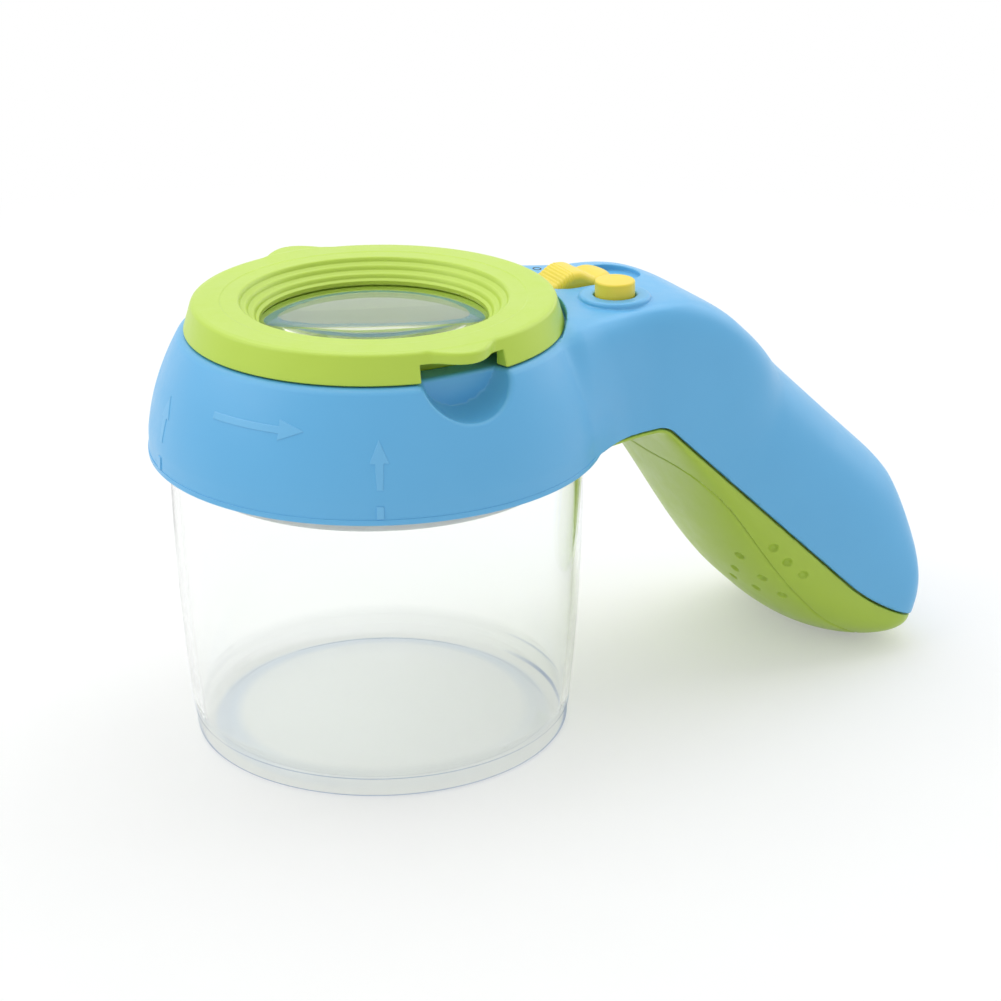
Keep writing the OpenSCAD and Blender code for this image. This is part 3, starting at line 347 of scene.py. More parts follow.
def surface(field, axes, turned=False, reach=1.8, block=8):
    """Points and faces of the skin where the field is zero, on a grid of the given lines: x, y, z, or
    radius, a full turn of angle and z. Only blocks of the grid near the skin are worked out."""
    def spot(q):
        if not turned:
            return q
        return np.stack((q[:, 0] * np.cos(q[:, 1]), q[:, 0] * np.sin(q[:, 1]), q[:, 2]), 1)
    n = [len(a) for a in axes]
    cuts = [np.unique(np.append(np.arange(0, k - 1, block), k - 1)) for k in n]
    mids = [(a[c[:-1]] + a[c[1:]]) / 2 for a, c in zip(axes, cuts)]
    half = [(a[c[1:]] - a[c[:-1]]) / 2 for a, c in zip(axes, cuts)]
    mid = np.stack(np.meshgrid(*mids, indexing="ij"), -1).reshape(-1, 3)
    wide = np.stack(np.meshgrid(*half, indexing="ij"), -1).reshape(-1, 3)
    if turned:
        wide[:, 1] *= mid[:, 0] + wide[:, 0]
    span = np.linalg.norm(wide, axis=1)
    near = (np.abs(chunks(field, spot(mid))) < reach * span + 0.3).reshape([len(m) for m in mids])
    known, value = np.zeros(n, bool), np.full(n, np.nan)
    fresh_blocks = np.argwhere(near)
    while len(fresh_blocks):
        more = np.zeros(n, bool)
        for b in fresh_blocks:
            more[tuple(slice(cuts[k][b[k]], cuts[k][b[k] + 1] + 1) for k in range(3))] = True
        more &= ~known
        at = np.argwhere(more)
        value[more] = chunks(field, spot(np.stack([axes[k][at[:, k]] for k in range(3)], 1)))
        known |= more
        found = []
        for b in fresh_blocks:
            for a in range(3):
                for way in (-1, 1):
                    c = b.copy()
                    c[a] += way
                    if not 0 <= c[a] < near.shape[a] or near[tuple(c)]:
                        continue
                    side = [slice(cuts[k][b[k]], cuts[k][b[k] + 1] + 1) for k in range(3)]
                    side[a] = cuts[a][b[a] + (way > 0)]
                    wall = value[tuple(side)] < 0
                    if wall.any() and not wall.all():
                        near[tuple(c)] = True
                        found.append(c)
        fresh_blocks = np.array(found)
    spots, cells, loops = [], [], []
    shape = [k - 1 for k in n]
    for a in range(3):
        b, c = (a + 1) % 3, (a + 2) % 3
        s0, s1 = [slice(None)] * 3, [slice(None)] * 3
        s0[a], s1[a] = slice(0, -1), slice(1, None)
        v0, v1 = value[tuple(s0)], value[tuple(s1)]
        cross = ((v0 < 0) != (v1 < 0)) & known[tuple(s0)] & known[tuple(s1)]
        if turned and a != 1:
            cross[:, -1] = False
        e = np.argwhere(cross)
        f0, f1 = v0[cross], v1[cross]
        p = np.stack([axes[k][e[:, k]] for k in range(3)], 1)
        p[:, a] += f0 / (f0 - f1) * (axes[a][e[:, a] + 1] - axes[a][e[:, a]])
        p = spot(p)
        around = []
        for db, dc in ((0, 0), (1, 0), (1, 1), (0, 1)):
            q = e.copy()
            q[:, b] -= db
            q[:, c] -= dc
            if turned:
                q[:, 1] %= shape[1]
            around.append(np.ravel_multi_index(q.T, shape))
            spots.append(p)
        ring = np.stack(around, 1)
        cells.append(ring.T.reshape(-1))
        loops.append(np.where((f0 < 0)[:, None], ring, ring[:, ::-1]))
    cells, spots = np.concatenate(cells), np.concatenate(spots)
    names, back = np.unique(cells, return_inverse=True)
    count = np.bincount(back)
    verts = np.stack([np.bincount(back, spots[:, k]) / count for k in range(3)], 1)
    faces = np.searchsorted(names, np.concatenate(loops))
    step = min(float(np.min(np.diff(a))) for a in (axes[0], axes[2]))
    for _ in range(3):
        g = slope_of(field, verts, 0.02)
        f = chunks(field, verts)
        gg = np.maximum((g * g).sum(1), 0.05)
        verts -= np.clip(f / gg, -step, step)[:, None] * g
    return verts, faces


def mesh(name, verts, faces, normals, body, slot, *replaced):
    """A piece from points in millimetres, riding on a body."""
    me = bpy.data.meshes.new(name)
    me.vertices.add(len(verts))
    me.vertices.foreach_set("co", (np.asarray(verts, float) * MM).astype(np.float32).ravel())
    sizes = np.array([len(f) for f in faces])
    flat = np.concatenate([np.asarray(f) for f in faces])
    me.loops.add(len(flat))
    me.polygons.add(len(sizes))
    me.loops.foreach_set("vertex_index", flat.astype(np.int32))
    starts = np.concatenate(([0], np.cumsum(sizes)[:-1]))
    me.polygons.foreach_set("loop_start", starts.astype(np.int32))
    me.polygons.foreach_set("use_smooth", np.ones(len(sizes), bool))
    me.update(calc_edges=True)
    me.validate()
    if normals is not None:
        me.normals_split_custom_set_from_vertices([tuple(v) for v in normals])
    me.materials.append(FINISH[slot])
    ob = bpy.data.objects.new(name, me)
    bpy.context.scene.collection.objects.link(ob)
    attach(ob, body)
    if replaced:
        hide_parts(*replaced)
    return ob


def form(name, field, axes, body, slot, *replaced, share=None, turned=False):
    """A piece whose skin is the zero of a field."""
    verts, faces = surface(field, axes, turned)
    if share:
        verts, faces = thin(verts, faces, share)
    g = slope_of(field, verts, 0.03)
    g /= np.maximum(np.linalg.norm(g, axis=1), 1e-9)[:, None]
    return mesh(name, verts, faces, g, body, slot, *replaced)


def thin(verts, faces, share):
    """The same skin with fewer faces, where it is flat enough to need no more."""
    me = bpy.data.meshes.new("work")
    me.from_pydata(verts.tolist(), [], faces.tolist())
    ob = bpy.data.objects.new("work", me)
    bpy.context.scene.collection.objects.link(ob)
    cut = ob.modifiers.new("cut", "DECIMATE")
    cut.ratio = share
    got = ob.evaluated_get(bpy.context.evaluated_depsgraph_get()).to_mesh()
    v = np.empty(len(got.vertices) * 3, np.float32)
    got.vertices.foreach_get("co", v)
    f = [tuple(p.vertices) for p in got.polygons]
    v = v.reshape(-1, 3).astype(float)
    ob.to_mesh_clear()
    bpy.data.objects.remove(ob)
    bpy.data.meshes.remove(me)
    return v, f


def rounded(points, radius, bend=6):
    """A closed outline with its corners rounded: places, and the outward direction at each."""
    p = [np.array(q[:2], float) for q in points]
    radii = [q[2] if len(q) > 2 else radius for q in points]
    n = len(p)
    area = sum(p[i][0] * p[(i + 1) % n][1] - p[(i + 1) % n][0] * p[i][1] for i in range(n))
    sign = 1 if area > 0 else -1
    places, ways = [], []
    for i in range(n):
        a, b, c = p[i - 1], p[i], p[(i + 1) % n]
        u, w = (b - a) / np.linalg.norm(b - a), (c - b) / np.linalg.norm(c - b)
        nu, nw = sign * np.array([u[1], -u[0]]), sign * np.array([w[1], -w[0]])
        turn = math.atan2(u[0] * w[1] - u[1] * w[0], float(u @ w))
        if abs(turn) < 1e-4 or b[0] < 1e-9:
            even = (nu + nw) / np.linalg.norm(nu + nw) if b[0] >= 1e-9 else None
            places.append(b)
            ways.append(even if even is not None else (nw if a[0] < 1e-9 else nu))
            continue
        if abs(turn) < math.radians(9):
            places.append(b)
            ways.append((nu + nw) / np.linalg.norm(nu + nw))
            continue
        reach = min(radii[i] * abs(math.tan(turn / 2)),
                    0.45 * np.linalg.norm(b - a), 0.45 * np.linalg.norm(c - b))
        r = reach / abs(math.tan(turn / 2))
        start = b - u * reach
        centre = start - nu * r * (1 if turn * sign > 0 else -1)
        k = max(2, int(bend * abs(turn) / (math.pi / 2)) + 1)
        for j in range(k + 1):
            t = turn * j / k
            ct, st = math.cos(t), math.sin(t)
            d = np.array([nu[0] * ct - nu[1] * st, nu[0] * st + nu[1] * ct])
            places.append(centre + d * r * (1 if turn * sign > 0 else -1))
            ways.append(d)
    return np.array(places), np.array(ways)


def lathe(name, points, radius, body, slot, *replaced, turns=192, push=None, bend=6, centre=(0, 0)):
    """A piece turned about an upright axis from a closed outline of (radius, height)."""
    at, way = rounded(points, radius, bend)
    angles = np.arange(turns) * 2 * math.pi / turns
    verts, normals, first = [], [], []
    for q, w in zip(at, way):
        first.append(len(verts))
        if q[0] < 1e-9:
            verts.append((centre[0], centre[1], q[1]))
            normals.append((0, 0, 1 if w[1] > 0 else -1))
            continue
        for t in angles:
            r = q[0] + (push(q[0], q[1], t) if push else 0)
            verts.append((centre[0] + r * math.cos(t), centre[1] + r * math.sin(t), q[1]))
            normals.append((w[0] * math.cos(t), w[0] * math.sin(t), w[1]))
    faces = []
    n = len(at)
    area = sum(at[i][0] * at[(i + 1) % n][1] - at[(i + 1) % n][0] * at[i][1] for i in range(n))
    for i in range(n):
        j = (i + 1) % n
        a, b = first[i], first[j]
        if at[i][0] < 1e-9 and at[j][0] < 1e-9:
            continue
        for k in range(turns):
            m = (k + 1) % turns
            if at[i][0] < 1e-9:
                f = (a, b + m, b + k)
            elif at[j][0] < 1e-9:
                f = (a + k, a + m, b)
            else:
                f = (a + k, a + m, b + m, b + k)
            faces.append(f if area > 0 else f[::-1])
    return mesh(name, verts, faces, normals, body, slot, *replaced)


# ---------------------------------------------------------------- the handle's loft
# Places along the spine, closer together towards the tip
LINE = np.unique(np.concatenate((np.linspace(0, S4 - 1, 1500), S4 - (1 - np.linspace(0, 1, 400)) ** 3)))


def cap(length, power):
    """How a size closes to nothing over the last part of the handle."""
    return (1 - np.clip((LINE - S4 + length) / length, 0, 1) ** power) ** (1 / power)


# Half the width, the heights over and under the parting line, and how square the top's far and
# near shoulders are, as powers
FULL = 22.5 + 4.3 * ease((LINE - S2) / REACH) + 4 * (1 - ease(LINE / 22))
MID = S2 + 0.2 * REACH
OVER = np.where(LINE < MID, 24.9 + 1.7 * ease(LINE / MID), 26.6 + 0.8 * ease((LINE - MID) / 66))
UNDER = 2.9 + 11.0 * ease((LINE - S1) / (S2 - S1 + 0.64 * REACH))
FAR = 2.8 + 3.7 * (1 - ease((LINE - 2) / 20)) + 1.2 * (1 - ease((LINE - 18) / 26))
NEAR = 8 - 5.2 * ease((LINE - 20) / 26)


def table(values):
    """A size along the spine and its slope, as one function."""
    v = np.maximum(values, 0.4)
    d = np.gradient(v, LINE)
    return lambda s: (np.interp(s, LINE, v), np.interp(s, LINE, d))


TOP_W, TOP_H = table(FULL * cap(12.5, 3.7)), table(OVER * cap(32, 2.15))
LOW_W = table((FULL - 0.5) * cap(12.5, 3.7))
LOW_H = table(np.maximum(UNDER - 0.7, 0.2) * cap(24, 1.9))


def along(x, z):
    """Distance along the handle's spine, and height over it."""
    x1 = ROOT + S1
    s, v = x - ROOT, z - PART
    a, far = np.arctan2(x - x1, z - PART + KNEE), np.hypot(x - x1, z - PART + KNEE)
    past = x > x1
    s, v = np.where(past, S1 + a * KNEE, s), np.where(past, far - KNEE, v)
    x2, z2 = x1 + KNEE * SN, PART + KNEE * (CS - 1)
    t, w = (x - x2) * CS - (z - z2) * SN, (x - x2) * SN + (z - z2) * CS
    s, v = np.where(t > 0, S2 + t, s), np.where(t > 0, w, v)
    x3, z3 = x2 + (S3 - S2) * CS + SPINE_R * SN, z2 - (S3 - S2) * SN + SPINE_R * CS
    s = np.where(t > S3 - S2, S3 + (SLOPE - np.arctan2(x3 - x, z3 - z)) * SPINE_R, s)
    v = np.where(t > S3 - S2, SPINE_R - np.hypot(x - x3, z - z3), v)
    return s, v


def section(y, v, s, wide, high, power):
    """Distance to the skin of a rounded section that changes along the spine."""
    w, dw = wide(s)
    h, dh = high(s)
    a, b = np.abs(y) / w, np.maximum(v, 0) / h
    q = (a ** power + b ** power) ** (1 / power) + 1e-9
    ka, kb = (a / q) ** (power - 1), (b / q) ** (power - 1)
    g = np.sqrt((ka / w) ** 2 + (kb / h) ** 2 + (ka * a * dw / w + kb * b * dh / h) ** 2 + 1e-9)
    return (q - 1) / g


def at_tab(x, y):
    """Place seen from the finger tab on the same side: outwards, and sideways."""
    c, s = math.cos(math.radians(3)), math.sin(math.radians(3))
    out, aside = -x * s + y * c, x * c + y * s
    return np.abs(out), aside * np.sign(out)


def stadium(x, y, end, half):
    """The track's outline seen from above."""
    return np.hypot(np.maximum(x - end + half, 0), y - TRACK_Y) - half


def collar_skin(r, z):
    """Distance to the collar's bowed outside, and its radius at that height."""
    u = np.clip((z - COLLAR_Z) / COLLAR_H, 0, 1.1)
    wall_r = COLLAR_R - COLLAR_IN * u * u
    return (r - wall_r) / np.sqrt(1 + (2 * COLLAR_IN * u / COLLAR_H) ** 2), wall_r


def locking(r, y, x, start, half):
    """The four ledges or stops in the collar: how far a place is from their angles and radii."""
    turn = (np.degrees(np.arctan2(y, x)) - start + 45) % 90 - 45
    return np.maximum(np.abs(turn) - half, 0) * 0.7 + np.maximum(41.3 - r, r - 43.7)


def upper(p):
    x, y, z = p.T
    r = np.hypot(x, y)
    skin, wall_r = collar_skin(r, z)
    skin = skin + 0.13 * ease((64.5 - z) / 2.5)
    body = rmax(rmax(skin, z - DECK, 1.2), COLLAR_Z - z, 0.5)
    s, v = along(x, z)
    near = np.clip(s, 0, S4)
    power = np.where(y < 0, np.interp(near, LINE, NEAR), np.interp(near, LINE, FAR))
    top = section(y, v, near, TOP_W, TOP_H, power)
    top = np.maximum(top, s - S4 + 0.02)
    top = rmax(top, z - CONTROL - 2 * ease((x - 59) / 14), 1.2)
    grip = rmax(rmax(top, -v, 0.25), ROOT - x, 3)
    d = np.minimum(np.minimum(body, grip), np.maximum(rmin(body, grip, 6), -v))
    # The hollows of the handle and of the collar
    room = np.maximum(np.maximum(top + 2, -body), s - S4 + 6)
    well = np.minimum(np.maximum(r - 42.77, z - 66.8),
                      np.maximum(r - np.minimum(wall_r - 2.2, 40), z - 81.5))
    d = np.maximum(np.maximum(d, -room), -well)
    # What stands inside: under the button and the track, round the throat and the recesses, and the
    # ledges and stops that hold the jar
    ring = np.hypot(x - BUTTON[0], y - BUTTON[1])
    inner = [np.maximum(np.maximum(ring - 7, 82.55 - z), z - 85),
             np.maximum(np.maximum(stadium(x, y, 63.1, 8), 82.15 - z),
                        np.maximum(np.maximum(z - 84.95, top + 0.1), TRACK_X - x)),
             np.maximum(np.maximum(np.abs(r - 29.8) - 1, 73.5 - z), z - 82.5)]
    out, aside = at_tab(x, y)
    ball = np.sqrt((out - 38.5) ** 2 + aside ** 2 + (z - 85.3) ** 2) - 9.35
    inner.append(np.maximum(np.maximum(ball - 1.8, 31.7 - out), body))
    inner.append(np.maximum(locking(r, y, x, 18, 27), np.maximum(60.5 - z, z - 62)))
    inner.append(np.maximum(locking(r, y, x, -11, 2), np.maximum(60.5 - z, z - 67)))
    for k in inner:
        d = np.minimum(d, k)
    # The button's raised ring, then the cuts: ring seat, throat, finger recesses, button hole,
    # track and its slot
    d = rmin(d, np.maximum(rmax(ring - 7.25, z - 86.1, 0.8), 84 - z), 0.35)
    d = rmax(d, -np.maximum(r - 37.35, DECK - z), 0.25)
    d = rmax(d, -np.maximum(r - 28.8, 79.5 - z), 0.2)
    d = rmax(d, -np.maximum(ball, 33.5 - out), 0.9)
    d = rmax(d, -np.maximum(ring - 4.25, 79.85 - z), 0.45)
    d = np.maximum(d, -np.maximum(np.maximum(ring - 5.5, 79.85 - z), z - 82.55))
    d = rmax(d, -np.maximum(np.maximum(stadium(x, y, 61.1, 6), TRACK_X - x), CONTROL - 1.6 - z), 0.3)
    slot = np.maximum(np.maximum(44.5 - x, x - 54.5), np.abs(y - TRACK_Y) - 2.1)
    return np.maximum(d, -np.maximum(slot, 79.85 - z))


# The belly: its skin, the outline of the battery door on the slope, and the dimples for the grip
DOOR_MID, DOOR_HALF, DOOR_W = (S2 + 10.6 + S4 - 6.2) / 2, (S4 - 6.2 - S2 - 10.6) / 2, 21
DIMPLES = [(79.4, 23.1, 29.0), (82.8, 23.4, 25.2), (86.5, 24.1, 21.8), (75.8, 15.7, 25.3), (80.6, 17.3, 19.8),
           (85.2, 18.3, 15.2), (77.8, 10.9, 20.1), (82.2, 12.7, 15.3), (80.1, 6.7, 16.1), (113.3, 12.6, 2.0)]


def belly(p):
    """Place along the handle, skin, door's outline, nearest dimple, and place from the door's screw."""
    x, y, z = p.T
    s, v = along(x, z)
    near = np.clip(s, 0, S4)
    skin = section(y, -v - 0.7, near, LOW_W, LOW_H, 2.25)
    skin = np.maximum(skin, s - S4 + 0.02)
    x2, z2 = ROOT + S1 + KNEE * SN, PART + KNEE * (CS - 1)
    t = (x - x2) * CS - (z - z2) * SN + S2
    a, b = np.abs(t - DOOR_MID) / DOOR_HALF, np.abs(y) / DOOR_W
    power = np.where(t > DOOR_MID, 9.0, 5.0)
    q = (a ** power + b ** power) ** (1 / power) + 1e-9
    g = np.hypot((a / q) ** (power - 1) / DOOR_HALF, (b / q) ** (power - 1) / DOOR_W)
    panel = (q - 1) / g
    pits = np.full(len(x), 9.0)
    for cx, cy, cz in DIMPLES:
        pits = np.minimum(pits, np.sqrt((x - cx) ** 2 + (np.abs(y) - cy) ** 2 + (z - cz) ** 2))
    screw, rise = np.hypot(t - S2 - 14.6, y), (x - x2) * SN + (z - z2) * CS
    return s, v, skin, panel, pits, screw, rise


def pitted(d, pits):
    """The skin with a small round pit at each dimple's middle."""
    return rmax(d, 1.1 - pits, 0.2)


def lower(p):
    x, y, z = p.T
    s, v, skin, panel, pits, screw, _ = belly(p)
    near = np.clip(s, 0, S4)
    d = pitted(rmax(skin, v + 0.4, 0.25), pits)
    d = np.maximum(d, -np.maximum(skin + 2, np.maximum(S1 + 4 - s, s - S4 + 8)))
    d = rmax(d, -panel, 0.3)
    # The ledge that the door rests on, then the lip that keys into the upper shell
    ledge = np.maximum(np.maximum(skin + 1.85, -skin - 3.2), np.maximum(np.abs(panel) - 1.6, v + 1.2))
    ledge = np.maximum(ledge, 3.7 - screw)
    w, dw = TOP_W(near)
    edge = np.maximum((np.abs(y) - w) / np.sqrt(1 + dw * dw), s - S4)
    lip = np.minimum(np.maximum(np.abs(edge + 2.9) - 0.65, np.abs(v + 0.4) - 2),
                     np.maximum(np.abs(edge + 2.5) - 1.05, np.abs(v + 1.7) - 0.7))
    d = np.minimum(np.minimum(d, ledge), np.maximum(lip, skin + 0.6))
    return rmax(d, 45.27 - np.hypot(x, y), 0.2)


def door(p):
    _, v, skin, panel, pits, screw, rise = belly(p)
    d = pitted(rmax(skin, panel + 0.25, 0.35), pits)
    d = np.maximum(np.maximum(d, -skin - 1.6), v + 0.9)
    d = np.minimum(d, np.maximum(np.maximum(screw - 3.5, rise + 1.585), skin + 0.8))
    d = np.maximum(d, -np.maximum(screw - 2.5, np.maximum(rise + 2.585, -rise - 4.0)))
    return np.maximum(d, -np.maximum(screw - 1.4, -rise - 3))


# ---------------------------------------------------------------- outlines read from a table
def outline(points, pad=4.0, step=0.05):
    """Signed distance to a closed outline, as a function of its two coordinates."""
    p = np.array([q[:2] for q in points], float)
    low, high = p.min(0) - pad, p.max(0) + pad
    gx, gy = np.arange(low[0], high[0], step), np.arange(low[1], high[1], step)
    x, y = np.meshgrid(gx, gy, indexing="ij")
    best, inside = np.full(x.shape, 1e9), np.zeros(x.shape, bool)
    for (ax, ay), (bx, by) in zip(p, np.roll(p, -1, 0)):
        ex, ey = bx - ax, by - ay
        t = np.clip(((x - ax) * ex + (y - ay) * ey) / max(ex * ex + ey * ey, 1e-12), 0, 1)
        best = np.minimum(best, (x - ax - t * ex) ** 2 + (y - ay - t * ey) ** 2)
        inside ^= ((ay > y) != (by > y)) & (x < ax + (y - ay) * ex / (ey if abs(ey) > 1e-12 else 1e-12))
    d = np.where(inside, -1, 1) * np.sqrt(best)

    def at(a, b):
        ca, cb = np.clip(a, gx[0], gx[-1] - 1e-6), np.clip(b, gy[0], gy[-1] - 1e-6)
        i = np.minimum(((ca - gx[0]) / step).astype(int), len(gx) - 2)
        j = np.minimum(((cb - gy[0]) / step).astype(int), len(gy) - 2)
        s, t = (ca - gx[i]) / step, (cb - gy[j]) / step
        low_side = d[i, j] * (1 - s) + d[i + 1, j] * s
        high_side = d[i, j + 1] * (1 - s) + d[i + 1, j + 1] * s
        return low_side * (1 - t) + high_side * t + np.hypot(a - ca, b - cb)
    return at


# ---------------------------------------------------------------- lens ring
RING_0, RING_1 = 83.7, 89.3
# The funnel's three rounded steps: how far each goes in and down
STEP_IN, STEP_DOWN = 1.4333, 1.3
NOSES = [(26.6 - STEP_IN * k - STEP_IN * (0.55 * math.sin(math.radians(18 * i)) if i < 5 else 1),
          RING_1 - STEP_DOWN * k - STEP_DOWN * (1 - math.cos(math.radians(18 * i))), 0.12)
         for k in range(3) for i in range(6) if i or not k]
RING_LINE = rounded([(37.1, RING_0, 0.25), (35.4, RING_1, 0.9)] + NOSES + [
    (22.3, 84.5, 0.1), (26.4, 84.5, 0.1), (26.4, 76.1, 0.3), (28.5, 76.1, 0.3),
    (28.5, 86.9, 0.2), (34.1, 86.9, 0.3), (34.1, RING_0, 0.2)], 0.2)[0]
ring_line = outline(RING_LINE)
TAB_HALF = 14


def lens_ring(p):
    x, y, z = p.T
    r = np.hypot(x, y)
    out, aside = at_tab(x, y)
    a = np.degrees(np.arctan2(aside, out))
    d = ring_line(r, z)
    notch = np.maximum(np.maximum((np.abs(a) - TAB_HALF) * r * 0.01745, 33.1 - r), z - 87)
    d = rmax(d, -notch, 0.25)
    across = np.clip(a / TAB_HALF, -1, 1) * math.pi
    swell = 0.5 * (1 + np.cos(across))
    plan = (r - 34.9 - 4.5 * swell ** 0.8) / np.sqrt(1 + (0.42 * np.sin(across)) ** 2)
    tab = rmax(rmax(plan, z - RING_1, 0.8), 87 - z, 0.45)
    return rmin(d, np.maximum(tab, 30 - r), 0.35)


# ---------------------------------------------------------------- slide knob
KNOB_X, STEM_X = 38.3, 46.4


def knob_top(x):
    """Height of the knob's top: a ridged swell, then a low hump."""
    def hump(at, width, height):
        return height * np.maximum(0, np.cos(0.5 * math.pi * np.minimum(1, np.abs(x - at) / width))) ** 2
    ridged = ease((x - 1.6) / 0.8) * ease((6.3 - x) / 0.8)
    swell = 1.95 * (1 - np.clip(np.abs(x - 6.5) / 4.6, 0, 1) ** 2.3) ** 1.6
    return 85.7 + swell + hump(13.0, 3.9, 0.62) + 0.06 * ridged * (1 - np.cos(3 * math.pi * x))


def knob(p):
    x, y, z = p.T
    run = x - KNOB_X
    h = knob_top(run)
    slant = (knob_top(run + 0.05) - knob_top(run - 0.05)) / 0.1
    plan = rmax(stadium(x, y, 54.6, 5), KNOB_X - x, 0.6)
    d = rmax(plan, (z - h) / np.sqrt(1 + slant * slant), 1.5)
    d = np.maximum(d, 83.95 - z)
    across = np.abs(y - TRACK_Y)
    lengthways = np.abs(x - STEM_X)
    stem = np.maximum(np.maximum(lengthways - 1.6, across - 1.8), np.maximum(77.65 - z, z - 84.4))
    hook = np.maximum(np.maximum(lengthways - 2.8, across - 3), np.abs(z - 81.4) - 0.45)
    d = np.minimum(np.minimum(d, stem), hook)
    return np.maximum(d, -np.maximum(np.maximum(lengthways - 1.1, across - 0.9), z - 81.05))


# ---------------------------------------------------------------- marks moulded or printed on the head
def mark_field(shape, middle, proud):
    """A raised mark on the collar: its outline lies in arc length and height."""
    def field(p):
        x, y, z = p.T
        a = (np.degrees(np.arctan2(y, x)) - middle + 180) % 360 - 180
        flat = shape(np.radians(a) * 43.2, z)
        near = np.abs(np.hypot(x, y) - 43) < 3.2
        d = np.where(near, collar_skin(np.hypot(x, y), z)[0], 3.0)
        return rmax(rmax(flat, d - proud, 0.12), -d - 0.3, 0.1)
    return field


# Outlines in millimetres: along the collar, and height
UP_ARROW = [(0, 75.4), (-1.85, 71.15), (-0.8, 71.15), (-0.6, 66.4), (0.6, 66.4), (0.8, 71.15), (1.85, 71.15)]
DASH = [(-0.68, 60.95), (0.68, 60.95), (0.68, 63.4), (-0.68, 63.4)]
TURN_ARROW = [(-10.5, 76.65), (-10.5, 75.35), (5.1, 75.35), (5.0, 74.15), (10.3, 76.2), (5.0, 77.9),
              (5.1, 76.65)]


def mark_box(middle, wide, z0, z1, step=0.13):
    """Grid lines round a mark that spans some degrees of the collar."""
    t = np.radians(middle + np.linspace(-wide, wide, 41))
    x = np.concatenate([r * np.cos(t) for r in (39.5, 45.8)])
    y = np.concatenate([r * np.sin(t) for r in (39.5, 45.8)])
    return [axis((float(x.min()), float(x.max()), step)), axis((float(y.min()), float(y.max()), step)),
            axis((z0, z1, step))]


def print_field(shape, cx, cy):
    """A thin printed mark that follows the top of the handle."""
    def field(p):
        x, y, z = p.T
        return rmax(shape(x - cx, y - cy), np.abs(upper(p)) - 0.05, 0.02)
    return field


